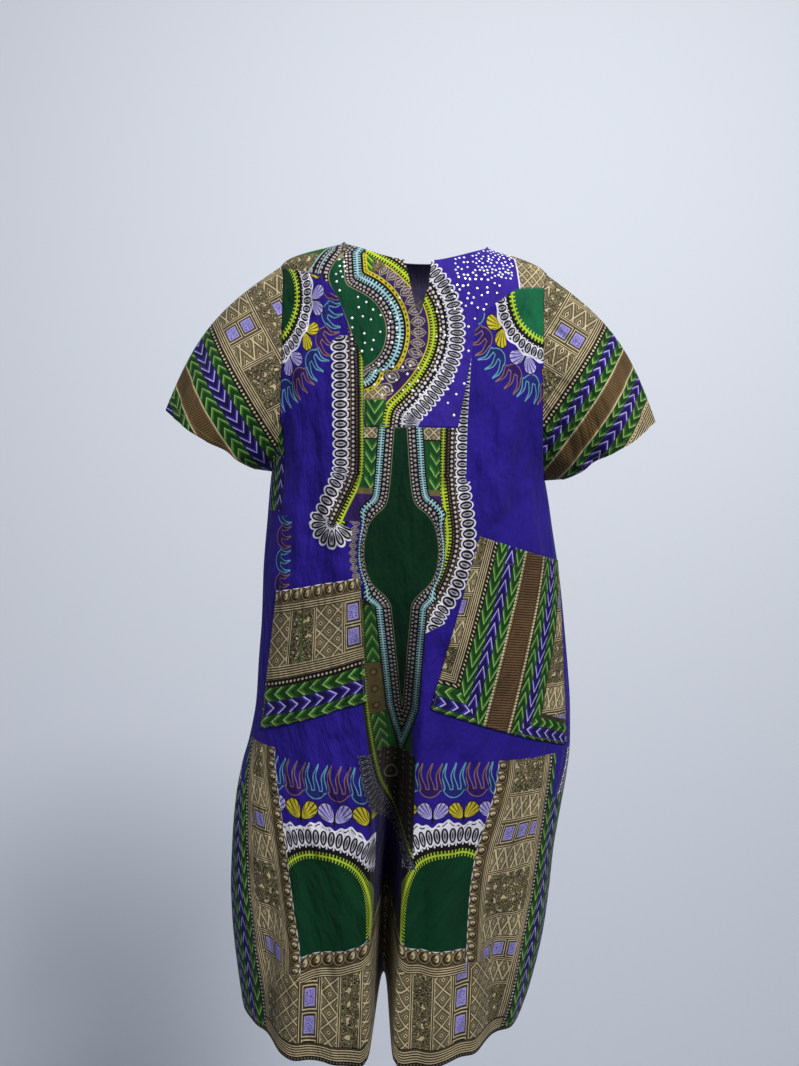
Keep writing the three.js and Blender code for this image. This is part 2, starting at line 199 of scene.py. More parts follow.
# Creases, given one by one: face, x and z of both ends, half width, depth (+ in, - a ridge).
CREASES = [
    (-1, -150, -330, -95, -520, 16, 4.8), (-1, -118, -360, -70, -500, 12, -3.5),
    (-1, 150, -180, 128, -420, 17, -4.8), (-1, 172, -200, 158, -430, 12, 5.1),
    (-1, 118, -230, 112, -400, 11, 3.2), (-1, -168, -190, -176, -330, 12, 3.8),
    (-1, -40, -560, -92, -700, 18, 5.1), (-1, 46, -560, 92, -640, 16, 4.2),
    (-1, -60, -800, -70, -1130, 16, -4.2), (-1, -110, -830, -104, -1140, 14, 4.2),
    (-1, 70, -820, 66, -1130, 18, -4.5), (-1, 100, -700, 108, -1140, 13, 4.2),
    (-1, 200, -330, 225, -560, 15, 4.8), (-1, 188, -760, 196, -1140, 16, 4.8),
    (-1, -205, -760, -196, -1140, 14, 4.2), (-1, 40, -760, 44, -1140, 10, 2.9),
    (-1, -168, -90, -120, -150, 14, 3.5), (-1, 170, -96, 122, -160, 14, 3.5),
    (1, -150, -140, -100, -420, 18, 5.4), (1, -70, -160, -60, -460, 16, -4.2),
    (1, 10, -150, 0, -520, 15, 4.2), (1, 84, -150, 74, -440, 16, -4.5),
    (1, 150, -140, 118, -430, 18, 5.1), (1, -130, -560, -140, -1140, 16, 4.8),
    (1, -40, -600, -34, -1140, 14, -4.5), (1, 66, -600, 72, -1140, 14, -4.2),
    (1, 170, -520, 178, -1140, 15, 4.8), (1, -182, -620, -186, -1140, 14, 3.8),
    (-1, 168, -240, 205, -420, 10, 3.4), (-1, 96, -300, 160, -400, 9, -2.6),
    (-1, -172, -240, -188, -420, 9, 3.6), (-1, -100, -230, -150, -300, 9, 2.8),
    (-1, 205, -540, 222, -760, 12, 4.2), (-1, -196, -480, -200, -700, 11, 3.8),
    (-1, 232, -700, 214, -1140, 12, -3.6), (-1, 30, -540, 50, -700, 12, 3.0),
    (-1, 74, -200, 96, -330, 12, -2.8), (1, -196, -300, -190, -560, 12, 4.0),
    (1, 200, -330, 226, -640, 13, 4.2), (1, 30, -90, 120, -160, 12, 3.0),
    (1, -30, -90, -120, -170, 12, 3.0), (-1, -128, -215, -116, -420, 8, 2.8),
    (-1, -146, -260, -150, -480, 9, -3.0), (-1, 104, -250, 96, -470, 8, 3.0),
    (-1, 138, -300, 120, -430, 8, -3.2), (-1, -150, -420, -60, -470, 9, 2.6),
    (-1, 190, -350, 110, -420, 9, 2.8), (-1, -100, -720, -40, -700, 9, 2.4),
    (-1, 60, -700, 130, -760, 10, 3.0)]
CREASE_GAIN, CREASE_SWAY, RIPPLE = 1.25, 3.5, 0.9


def creases_on(face):
    """Depth of all creases of one side of the dress, with a faint ripple all over."""
    rows = [r for r in CREASES if r[0] == face]

    def depth(x, z):
        total = np.zeros_like(x)
        for _, xa, za, xb, zb, half, d in rows:
            ux, uz = xb - xa, zb - za
            long = math.hypot(ux, uz)
            along = ((x - xa) * ux + (z - za) * uz) / long
            off = ((x - xa) * uz - (z - za) * ux) / long
            off = off + CREASE_SWAY * np.sin(along / 37 + xa)
            if zb < -1100:  # runs out through the hem
                end = ramp(along / (0.3 * long))
            else:
                end = ramp(along / (0.28 * long)) * ramp((long - along) / (0.28 * long))
            total = total + d * end * np.exp(-((off / half) ** 2))
        wave = (np.sin(x / 23 + z / 61) * np.sin(z / 47 - x / 80)
                + 0.6 * np.sin(x / 11 - z / 35 + 1.7) * np.sin(z / 29 + x / 41))
        return CREASE_GAIN * total + RIPPLE * wave
    return depth


CREASE = {-1: creases_on(-1), 1: creases_on(1)}
CLOTH = {-1: cloth_tables(-1), 1: cloth_tables(1)}


def polyline(points, fractions):
    """Points at fractions of the way along a polyline."""
    points = np.asarray(points, float)
    run = np.concatenate(([0], np.cumsum(np.hypot(*np.diff(points, axis=0).T))))
    return np.stack([np.interp(np.asarray(fractions) * run[-1], run, points[:, c]) for c in (0, 1)], -1)


def joined(parts, counts):
    """Columns along several polylines, one after another, that share their ends."""
    out = []
    for i, (pts, n) in enumerate(zip(parts, counts)):
        out.append(polyline(pts, np.linspace(0, 1, n + 1)[(1 if i else 0):]))
    return np.concatenate(out)


def to_domain(xz):
    """(x, z) as (turn, root of the drop), in which rows and columns are even over the shoulder."""
    xz = np.asarray(xz, float)
    z = np.minimum(xz[..., 1], -1e-4)
    return np.stack([turn_of(xz[..., 0], z), np.sqrt(-z)], -1)


def neck_z(face, x):
    """Height of the neck edge at x, found by halving."""
    y = (NECK_FRONT if face < 0 else NECK_BACK) * np.sqrt(
        np.maximum(0, 1 - ((x - NECK_X) / NECK_HALF) ** 2))
    lo, hi = np.full_like(x, -80.0), np.full_like(x, -1e-5)
    for _ in range(50):
        mid = (lo + hi) / 2
        depth = np.abs(body_point(face, turn_of(x, mid), mid)[:, 1])
        lo, hi = np.where(depth > y, mid, lo), np.where(depth > y, hi, mid)
    return (lo + hi) / 2


def neck_line(face, xs):
    xs = np.asarray(xs, float)
    return np.stack([xs, neck_z(face, xs)], -1)


def shoulder_seam(sign, n):
    """The seam from armhole to neck on one side, as (turn, root of the drop)."""
    drop = np.linspace(math.sqrt(-SHOULDER), 0, n)
    return np.stack([np.full(n, float(sign)), drop if sign < 0 else drop[::-1]], -1)


def rows_between(top, bottom, n):
    f = np.linspace(0, 1, n + 1)[:, None, None]
    return top[None] * (1 - f) + bottom[None] * f


def surface(face, turn, z):
    return body_point(face, turn, z, CREASE[face])


def normals(pts, outward, loop=False):
    """Unit normals of a grid of points, turned so that they agree with a rough outward direction."""
    du = (np.roll(pts, -1, 1) - np.roll(pts, 1, 1)) if loop else np.gradient(pts, axis=1)
    n = np.cross(du, np.gradient(pts, axis=0))
    n /= np.maximum(np.linalg.norm(n, axis=-1, keepdims=True), 1e-9)
    return n * np.where(np.sum(np.mean(n * outward, axis=(0, 1))) < 0, -1, 1)


def shell(name, outer, thick, outward, fields, slots, pick, loop=False):
    """A two-layered cloth of a grid of points (mm), with its fields kept at every point."""
    n = normals(outer, outward, loop)
    inner = outer - thick * n
    rows, cols = outer.shape[:2]
    count = rows * cols
    grid = np.arange(count).reshape(rows, cols)
    if loop:
        grid = np.concatenate((grid, grid[:, :1]), 1)
    a, b, c, d = grid[:-1, :-1], grid[:-1, 1:], grid[1:, 1:], grid[1:, :-1]
    quads = np.stack([a, b, c, d], -1).reshape(-1, 4)
    mid = outer.reshape(-1, 3)
    turn = np.cross(mid[quads[:, 2]] - mid[quads[:, 0]], mid[quads[:, 3]] - mid[quads[:, 1]])
    if np.mean(np.sum(turn * n.reshape(-1, 3)[quads[:, 0]], -1)) < 0:
        quads = quads[:, ::-1]
    edges = [grid[0], grid[-1][::-1]]
    if not loop:
        edges += [grid[:, 0][::-1], grid[:, -1]]
    rim = np.concatenate([np.stack([e[:-1], e[1:], e[1:] + count, e[:-1] + count], -1) for e in edges])
    faces = np.concatenate((quads, quads[:, ::-1] + count, rim))
    mesh = bpy.data.meshes.new(name)
    points = np.concatenate((outer.reshape(-1, 3), inner.reshape(-1, 3))) / 1000
    mesh.from_pydata(points.tolist(), [], faces.tolist())
    for key, value in fields.items():
        data = np.tile(np.broadcast_to(value, (rows, cols)).ravel(), 2).astype(np.float32)
        mesh.attributes.new(key, "FLOAT", "POINT").data.foreach_set("value", data)
    for slot in slots:
        mesh.materials.append(slot)
    area = {key: np.broadcast_to(v, (rows, cols)).ravel()[quads].mean(1) for key, v in fields.items()}
    index = np.concatenate((pick(area), np.full(len(quads) + len(rim), len(slots) - 1)))
    mesh.polygons.foreach_set("material_index", index.astype(np.int32))
    smooth = np.ones(len(faces), bool)
    smooth[2 * len(quads):] = False
    mesh.polygons.foreach_set("use_smooth", smooth)
    lay_uv(mesh, fields, rows, cols, faces, count)
    obj = bpy.data.objects.new(name, mesh)
    bpy.context.scene.collection.objects.link(obj)
    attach(obj, "root")
    return obj


def lay_uv(mesh, fields, rows, cols, faces, count):
    """Map OFBake: the outer face fills the upper two thirds, the inner face and the rim lie below."""
    u, v = fields["S"], fields["T"]
    u = np.tile(np.broadcast_to(u, (rows, cols)).ravel(), 2)
    v = np.tile(np.broadcast_to(v, (rows, cols)).ravel(), 2)
    size = max(np.ptp(u), np.ptp(v)) * 1.02
    u, v = (u - u.min()) / size, (v - v.min()) / size
    corner = faces.ravel()
    inner = np.repeat((faces >= count).any(1), 4)
    uv = np.stack([np.where(inner, 0.02 + u[corner] * 0.3, 0.01 + u[corner] * 0.65),
                   np.where(inner, 0.01 + v[corner] * 0.3, 0.34 + v[corner] * 0.65)], -1)
    layer = mesh.uv_layers.new(name="OFBake")
    layer.data.foreach_set("uv", uv.astype(np.float32).ravel())


# ---------------------------------------------------------------- pieces
def on_body(face, dom):
    """Points and cloth coordinates of a grid of (turn, root of the drop)."""
    turn, z = dom[..., 0], -dom[..., 1] ** 2
    pts = surface(face, turn, z)
    true, flat = (lookup(table, turn, z) for table in CLOTH[face])
    return pts, {"P": flat, "S": true, "T": z}


def level_rows(face, z_values, cuts, counts):
    """Rows of constant z, whose columns are even along the cloth between the cuts."""
    rows = []
    for z in z_values:
        table = [lookup(CLOTH[face][0], GRID_TURN, np.full_like(GRID_TURN, z)), GRID_TURN]
        at = np.array([-1.0] + [float(turn_of(np.array(c(z)), np.array(z))) for c in cuts] + [1.0])
        s_at = np.interp(at, GRID_TURN, table[0])
        s = np.concatenate([np.linspace(s_at[i], s_at[i + 1], n + 1)[(1 if i else 0):]
                            for i, n in enumerate(counts)])
        turn = np.interp(s, table[0], GRID_TURN)
        rows.append(np.stack([turn, np.full_like(turn, math.sqrt(-z))], -1))
    return np.array(rows)


def edge_end(row, inner_row, sign):
    """Where the yoke edge meets the armhole."""
    f = np.linspace(0, 1, 400)
    x = row[0] + (inner_row[0] - row[0]) * f
    z = row[1] + (inner_row[1] - row[1]) * f
    side = np.where(x < 0, side_right(z), side_left(z))
    i = int(np.argmax(np.abs(x) <= side))
    return np.array([[sign * float(side[i]), z[i]]])


EDGE = np.concatenate((edge_end(YOKE_EDGE[0], YOKE_EDGE[1], -1), YOKE_EDGE[1:-1],
                       edge_end(YOKE_EDGE[-1], YOKE_EDGE[-2], 1)))


def edge_part(a, b):
    """The stretch of the yoke edge between two of its points, given by x, z."""
    ia = int(np.argmin(np.hypot(*(EDGE - a).T)))
    ib = int(np.argmin(np.hypot(*(EDGE - b).T)))
    return EDGE[ia:ib + 1]


def front_panel():
    counts = [42, 26, 44, 26, 42]
    cuts = [lambda z: -132 - 14 * ramp((-340 - z) / 300),
            lambda z: fold_x(z) - fold_half(z) - 14 * ramp((520 + z) / 180),
            lambda z: fold_x(z) + fold_half(z) + 42 * ramp((520 + z) / 180),
            lambda z: 146 + 4 * ramp((-340 - z) / 300)]
    lower = level_rows(-1, np.linspace(UNDERARM, HEM, 170), cuts, counts)
    stops = [EDGE[0], (-128, -66), (-55, -276), (72, -273), (120, -97), EDGE[-1]]
    top = joined([edge_part(a, b) for a, b in zip(stops[:-1], stops[1:])], counts)
    upper = rows_between(to_domain(top), lower[0], 46)[:-1]
    dom = np.concatenate((upper, lower))
    pts, fields = on_body(-1, dom)
    # the hem rises where the deep fold turns in
    z = pts[..., 2]
    share = ramp((z + 800) / (HEM + 800))
    lift = HEM_RISE * share * bell((pts[..., 0] - fold_x(z)) / (fold_half(z) * 1.6))
    pts[..., 2] = z + lift
    return pts, fields


def back_panel():
    counts = [30, 60, 30]
    cuts = [lambda z: -110, lambda z: 118]
    lower = level_rows(1, np.linspace(UNDERARM, HEM, 120), cuts, counts)
    neck = neck_line(1, NECK_X + NECK_HALF * np.cos(np.linspace(np.pi, 0, 61)))
    top = np.concatenate((shoulder_seam(-1, 31), to_domain(neck)[1:-1], shoulder_seam(1, 31)))
    upper = rows_between(top, lower[0], 54)[:-1]
    return on_body(1, np.concatenate((upper, lower)))


def yoke_panel():
    counts = [20, 22, 20, 20, 22, 20]
    stops = [EDGE[0], (-128, -66), (-72, -190), (8, -276), (87, -180), (120, -97), EDGE[-1]]
    low = polyline(EDGE, np.linspace(0, 1, 900))
    at = [int(np.argmin(np.hypot(*(low - s).T))) for s in stops]
    bottom = joined([low[a:b + 1] for a, b in zip(at[:-1], at[1:])], counts)
    slit = SLIT.copy()
    for i in (0, -1):
        slit[i, 1] = neck_z(-1, slit[i:i + 1, 0] if i == 0 else slit[-1:, 0])[0]
    at_slit = [math.acos((slit[i, 0] - NECK_X) / NECK_HALF) for i in (0, -1)]
    neck_r, neck_l = [neck_line(-1, NECK_X + NECK_HALF * np.cos(np.linspace(*ends, 23)))
                      for ends in ((np.pi, at_slit[0]), (at_slit[1], 0))]
    left = polyline(slit[:4], np.linspace(0, 1, 21))
    right = polyline(slit[3:], np.linspace(0, 1, 21))
    top = np.concatenate((shoulder_seam(-1, 21), to_domain(neck_r)[1:-1], to_domain(left),
                          to_domain(right)[1:], to_domain(neck_l)[1:-1], shoulder_seam(1, 21)))
    return on_body(-1, rows_between(top, to_domain(bottom), 56))


def sleeve_panel(name):
    """A sleeve as a ring of points for each step from the armhole to the cuff."""
    side, tip, low, depth, crown = SLEEVES[name]
    a = np.radians(np.arange(0, 360, 3.0))[None, :]
    t = np.linspace(0, 1, 56)[:, None]
    z_arm = ARM_MID + ARM_HALF * np.cos(a)
    reach = (side_right if side < 0 else side_left)(z_arm)
    start = np.stack([side * (reach + SEAM), -ARM_HALF_DEPTH * np.sin(a), z_arm], -1)
    top = (1 + np.cos(a)) / 2
    tip, low = np.array(tip, float), np.array(low, float)
    end = np.stack([low[0] + (tip[0] - low[0]) * top, -depth * np.sin(a),
                    low[1] + (tip[1] - low[1]) * top], -1)
    deg = np.degrees(a)
    out = crown * np.sin(np.pi * t) * top**2
    for at, half, d in SLEEVE_FOLDS:
        out = out - d * ramp(t) * bell((deg - at) / half)
    pts = start * (1 - t[..., None]) + end * t[..., None]
    pts = pts + np.stack([side * out * 0.75 * top, -out * np.sin(a) * 0.9,
                          out * 0.65 * np.cos(a)], -1)
    around = np.linalg.norm(np.diff(pts, axis=1, append=pts[:, :1]), axis=-1)
    run = np.cumsum(around, 1) - around
    along = np.cumsum(np.linalg.norm(np.diff(pts, axis=0, prepend=pts[:1]), axis=-1), 0)
    # lengths round the sleeve from its upper fold, the front side positive
    total = run[:, -1:] + around[:, -1:]
    ring = np.where(run > total / 2, run - total, run)
    # stripes run slantwise over the sleeve: W across them from the dotted line, A along them
    lean = math.hypot(1, STRIPE_SLOPE)
    wide = (side * pts[..., 0] - STRIPE_SLOPE * pts[..., 2] - STRIPE_START[name]) / lean
    down = (-STRIPE_SLOPE * side * pts[..., 0] - pts[..., 2]) / lean
    return pts, {"P": ring, "S": run, "T": -along, "W": wide, "A": down}


def pocket_panel(name):
    c = POCKETS[name]
    u, v = np.meshgrid(np.linspace(0, 1, 61), np.linspace(0, 1, 73))
    u, v = u[..., None], v[..., None]
    xz = (c[0] * (1 - u) + c[1] * u) * (1 - v) + (c[3] * (1 - u) + c[2] * u) * v
    dom = to_domain(xz)
    pts, fields = on_body(-1, dom)
    fields = {**fields, "U": u[..., 0], "V": v[..., 0]}
    return pts + normals(pts, np.array([0, -1, 0])) * POCKET_LIFT, fields


# ---------------------------------------------------------------- print formulas
# The print is drawn by number formulas of cloth coordinates in millimetres. An Ink is one such
# number; a mask is an Ink between 0 and 1.
class Ink:
    def __init__(self, tree, socket):
        self.tree, self.socket = tree, socket

    def op(self, kind, *others, clamp=False):
        node = self.tree.nodes.new("ShaderNodeMath")
        node.operation, node.use_clamp = kind, clamp
        for slot, value in zip(node.inputs, (self, *others)):
            if isinstance(value, Ink):
                self.tree.links.new(value.socket, slot)
            else:
                slot.default_value = value
        return Ink(self.tree, node.outputs[0])

    def __add__(self, o): return self.op("ADD", o)
    def __sub__(self, o): return self.op("SUBTRACT", o)
    def __mul__(self, o): return self.op("MULTIPLY", o)
    def __truediv__(self, o): return self.op("DIVIDE", o)
    def __neg__(self): return self.op("MULTIPLY", -1)
    def __rsub__(self, o): return self.op("MULTIPLY_ADD", -1, o)
    def __and__(self, o): return self.op("MULTIPLY", o)
    def __or__(self, o): return self.op("MAXIMUM", o)
    def __invert__(self): return self.op("MULTIPLY_ADD", -1, 1)
    def abs(self): return self.op("ABSOLUTE")
    def near(self, period): return self.op("PINGPONG", period / 2)
    def wrap(self, period): return self.op("WRAP", period / 2, -period / 2)
    def low(self, o): return self.op("MINIMUM", o)
    def high(self, o): return self.op("MAXIMUM", o)
    def power(self, o): return self.op("POWER", o)
    def scaled(self, m, c): return self.op("MULTIPLY_ADD", m, c)

    def below(self, edge, soft=0.5):
        """Mask of values under an edge."""
        if isinstance(edge, Ink):
            return (edge - self).op("MULTIPLY_ADD", 1 / soft, 0.5, clamp=True)
        return self.op("MULTIPLY_ADD", -1 / soft, edge / soft + 0.5, clamp=True)

    def above(self, edge, soft=0.5):
        if isinstance(edge, Ink):
            return (self - edge).op("MULTIPLY_ADD", 1 / soft, 0.5, clamp=True)
        return self.op("MULTIPLY_ADD", 1 / soft, 0.5 - edge / soft, clamp=True)

    def within(self, low, high, soft=0.5):
        middle, half = (low + high) / 2, (high - low) / 2
        return (self - middle).abs().below(half, soft)


WHITE, CREAM, TAN = (0.62, 0.61, 0.66), (0.45, 0.38, 0.225), (0.105, 0.070, 0.028)
BLACK, OLIVE = (0.006, 0.005, 0.006), (0.032, 0.024, 0.010)
GROUND, YOKE_GROUND, DEEP = (0.0165, 0.0075, 0.178), (0.028, 0.013, 0.215), (0.008, 0.004, 0.055)
GREEN, YOKE_GREEN, LIME = (0.0012, 0.029, 0.010), (0.0025, 0.047, 0.018), (0.36, 0.47, 0.025)
YELLOW, LIT_GREEN = (0.44, 0.37, 0.02), (0.0045, 0.090, 0.036)
LEAF, LEAF_LIGHT, LEAF_DARK = (0.035, 0.125, 0.012), (0.22, 0.37, 0.11), (0.007, 0.038, 0.008)
SKY, LILAC, TEAL, RUST = (0.27, 0.47, 0.50), (0.29, 0.26, 0.56), (0.10, 0.30, 0.31), (0.21, 0.11, 0.06)
VIOLET, PURPLE, PALE_PURPLE = (0.026, 0.011, 0.080), (0.030, 0.018, 0.21), (0.38, 0.355, 0.62)
SHADED_WHITE, DULL_LIME, BEAD = (0.17, 0.16, 0.20), (0.13, 0.19, 0.018), (0.40, 0.35, 0.34)
KHAKI = (0.20, 0.162, 0.085)


class Print:
    """One printed cotton: a ground colour, painted over motif by motif."""

    def __init__(self, name, ground):
        self.mat = bpy.data.materials.new(name)
        self.mat.use_nodes = True
        self.tree = self.mat.node_tree
        self.ground = ground
        self.colour = None
        self.known = {}

    def field(self, name):
        if name not in self.known:
            node = self.tree.nodes.new("ShaderNodeAttribute")
            node.attribute_name = name
            self.known[name] = Ink(self.tree, node.outputs["Fac"])
        return self.known[name]

    def fields(self, names):
        return [self.field(name) for name in names.split()]

    def paint(self, mask, colour):
        node = self.tree.nodes.new("ShaderNodeMix")
        node.data_type = "RGBA"
        self.tree.links.new(mask.socket, node.inputs["Factor"])
        for slot, value in ((6, self.colour or self.ground), (7, colour)):
            if isinstance(value, tuple):
                node.inputs[slot].default_value = (*value, 1)
            else:
                self.tree.links.new(value, node.inputs[slot])
        self.colour = node.outputs[2]

    def ramp(self, ink, stops, step=True):
        """Colours for the values 0 to 1 of an Ink, as bands."""
        node = self.tree.nodes.new("ShaderNodeValToRGB")
        band = node.color_ramp
        band.interpolation = "CONSTANT" if step else "LINEAR"
        while len(band.elements) < len(stops):
            band.elements.new(0.5)
        for element, (at, colour) in zip(band.elements, stops):
            element.position = at
            element.color = (*colour, 1)
        self.tree.links.new(ink.socket, node.inputs["Fac"])
        return node.outputs["Color"]

    def noise(self, u, v, size, detail=1):
        join = self.tree.nodes.new("ShaderNodeCombineXYZ")
        for slot, value in zip(join.inputs, (u, v)):
            self.tree.links.new(value.socket, slot)
        node = self.tree.nodes.new("ShaderNodeTexNoise")
        node.noise_dimensions = "2D"
        node.inputs["Scale"].default_value = 1 / size
        node.inputs["Detail"].default_value = detail
        self.tree.links.new(join.outputs[0], node.inputs["Vector"])
        return Ink(self.tree, node.outputs["Fac"])

    # ------------------------------------------------------------ motifs
    # where is the mask of the motif's place, d runs across its band and a along it.
    def ladder(self, where, d, a, colour, line=0.9, half=4.2, pitch=3.6, rung=0.75):
        mask = d.abs().below(line) | (d.abs().below(half) & a.near(pitch).below(rung))
        self.paint(mask & where, colour)

    def beads(self, where, d, a, pitch, radius, colour=CREAM):
        run = a.near(pitch)
        self.paint((d * d + run * run).below(radius * radius, radius * 0.9) & where, colour)

    def loops(self, where, d, a, length, pitch, light=WHITE):
        """Long loops with grey hearts on black, outlined in white, which stand on d = 0."""
        run = a.near(pitch)
        u, v = run / (pitch * 0.5), (d - length * 0.58) / (length * 0.42)
        ring = u * u + v * v
        self.paint(where & d.within(0, length * 0.5), BLACK)
        self.paint(ring.below(1.36, 0.14) & where, light)
        self.paint(ring.below(0.88, 0.14) & where, BLACK)
        stalk = (run - pitch * 0.5).abs().below(0.95) & d.within(0.5, length * 0.34)
        self.paint(stalk & where, light)
        u, v = run / (pitch * 0.20), (d - length * 0.58) / (length * 0.30)
        heart = u * u + v * v
        self.paint(heart.below(1, 0.3) & where, (0.36, 0.35, 0.40))
        self.paint(heart.below(0.36, 0.3) & where, (0.05, 0.045, 0.06))

    def petals(self, where, d, a, length, pitch):
        """Pointed leaves that stand across a band, outlined in tan."""
        run = a.near(pitch) / (pitch * 0.5)
        along = (d - length * 0.5) / (length * 0.48)
        q = run.abs() + along * along
        self.paint(q.below(0.95, 0.08) & where, (0.30, 0.25, 0.17))
        self.paint(q.below(0.72, 0.08) & where, (0.022, 0.014, 0.020))
        self.paint(q.below(0.46, 0.06) & where, (0.30, 0.25, 0.25))
        self.paint(q.below(0.22, 0.06) & where, (0.09, 0.07, 0.10))

    def chevrons(self, where, across, along, half, pitch, slope, dark, mid, light):
        """V strokes, one inside the next, over a dark band."""
        self.paint(where, dark)
        run = (along + across.abs() * slope).wrap(pitch)
        inside = where & across.abs().below(half - 0.8)
        self.paint(run.within(-pitch * 0.30, pitch * 0.12) & inside, mid)
        self.paint(run.within(-pitch * 0.05, pitch * 0.10) & inside, light)

    def lattice(self, where, u, v, cell):
        """Crossing cream lines with small diamonds in the spaces."""
        p = (u + v).wrap(cell).abs()
        q = (u - v).wrap(cell).abs()
        m = p.high(q) / (cell * 0.5)
        bold = [(0, BLACK), (0.10, CREAM), (0.26, BLACK), (0.36, KHAKI), (0.64, BLACK), (0.80, CREAM)]
        fine = [(0, BLACK), (0.14, CREAM), (0.28, BLACK), (0.40, KHAKI), (0.60, OLIVE), (0.69, KHAKI),
                (0.77, BLACK), (0.89, CREAM)]
        self.paint(where, self.ramp(m, bold if cell < 18 else fine))

    def rows(self, where, v, pitch=2.6):
        self.paint(where, TAN)
        self.paint(v.near(pitch).below(pitch * 0.20, 0.4) & where, CREAM)
        self.paint((v + pitch / 2).near(pitch).below(pitch * 0.17, 0.4) & where, BLACK)

    def blots(self, where, u, v, cell):
        """Cream blots in rows, with dark lines round them."""
        n = self.noise(u, v, cell * 0.40, 2)
        cu, cv = u.wrap(cell), v.wrap(cell * 1.25)
        q = ((cu * cu + cv * cv * 0.7).power(0.5)) / (cell * 1.5) + n * 0.85
        self.paint(where, self.ramp(q, [
            (0, CREAM), (0.50, BLACK), (0.545, OLIVE), (0.57, KHAKI), (0.60, BLACK), (0.65, TAN),
            (0.69, CREAM), (0.715, BLACK), (0.76, LEAF_DARK), (0.80, KHAKI), (0.835, BLACK),
            (0.88, TAN), (0.93, CREAM), (0.955, OLIVE)]))

    def squares(self, where, u, v, pitch, half_u, half_v):
        """Lilac squares framed in cream on dark."""
        q = (u.abs() / half_u).high(v.wrap(pitch).abs() / half_v)
        speck = self.noise(u, v, 1.5).above(0.53, 0.05)
        for edge, colour in ((1.55, OLIVE), (1.36, CREAM), (1.20, BLACK), (1.04, TAN), (0.94, LILAC)):
            self.paint(q.below(edge, 0.06) & where, colour)
        self.paint(q.below(0.80, 0.06) & speck & where, (0.05, 0.04, 0.19))

    def discs(self, where, d, a, size, pitch):
        """A row of dark rings with cream hearts under a scalloped white line."""
        run = a.near(pitch)
        self.paint(where & d.above(0), (0.070, 0.050, 0.022))
        side = a.wrap(pitch)
        dd = d - size * 0.52
        q = (run * run * 1.1 + dd * dd).power(0.5) / (size * 0.5)
        self.paint((run - pitch * 0.5).abs().below(1.6) & d.within(1, size * 0.55) & where, CREAM)
        for edge, colour in ((1.02, BLACK), (0.88, KHAKI), (0.74, (0.030, 0.018, 0.008)), (0.34, TAN)):
            self.paint(q.below(edge, 0.08) & where, colour)
        side, dd = (side - size * 0.10) / (size * 0.15), (dd + size * 0.06) / (size * 0.25)
        moon = (side * side + dd * dd).below(1, 0.4) & q.above(0.20, 0.08)
        self.paint(moon & where, CREAM)
        edge = d + (run * run) * (10 / (pitch * pitch))
        self.paint(edge.within(-0.6, 1.2) & where, WHITE)

    def flames(self, where, v, u, pitch=34, reach=46):
        """Cups of three long wavy outlined fingers, brown and teal in turn; v grows to the tips."""
        cell = u.wrap(pitch)
        kind = (u / (pitch * 2) + 0.25).op("FRACT").below(0.5, 0.01)
        cup = pitch * 0.36
        lean = cell - (v * (7.5 / reach)).op("SINE") * (reach * 0.045) - cell * v * (0.22 / reach)
        finger = lean.wrap(cup * 0.90).abs()
        width = v.scaled(-cup * 0.36 / reach, cup * 0.37)
        root = (cell * cell + (v - cup * 1.15) * (v - cup * 1.15)).power(0.5) - cup * 1.27
        sides = lean.abs() - cup * 1.32
        fingers = (finger - width).high(v - reach).high(sides).high(-v + cup * 0.62)
        bowl = root.high(v - cup * 0.8)
        shape = fingers.low(bowl)
        line = shape.abs().below(0.62, 0.6) & where
        fill = shape.below(-0.4, 0.5) & where
        self.paint(fill & kind, (0.020, 0.007, 0.085))
        self.paint(fill & ~kind, (0.012, 0.016, 0.120))
        self.paint(line & kind, RUST)
        self.paint(line & ~kind, TEAL)

    def butterflies(self, where, v, u, pitch=49, span=1):
        """Pairs of veined wings on a dark body, yellow and lilac in turn."""
        cell = u.wrap(pitch)
        kind = (u / (pitch * 2) + 0.25).op("FRACT").below(0.5, 0.01)
        x, y = (cell.abs() - 1.5) / span, (v + 11) / span
        out, off = x * 0.62 + y * 0.785, y * 0.62 - x * 0.785
        du, dv = (out - 14.5) / 12.5, off / (out * 0.24 + 5.2)
        q = du * du + dv * dv
        vein = (off / (out + 2)).near(0.23).below(0.032, 0.035) & out.above(6)
        self.paint(q.below(1.32, 0.12) & where, (0.014, 0.008, 0.03))
        wing = q.below(1, 0.1) & where
        self.paint(wing & kind, YELLOW)
        self.paint(wing & ~kind, LILAC)
        self.paint(wing & q.above(0.72, 0.1) & ~kind, PALE_PURPLE)
        self.paint(wing & vein, BLACK)
        self.paint(cell.abs().below(1.5) & v.within(-16, 1) & where, BLACK)

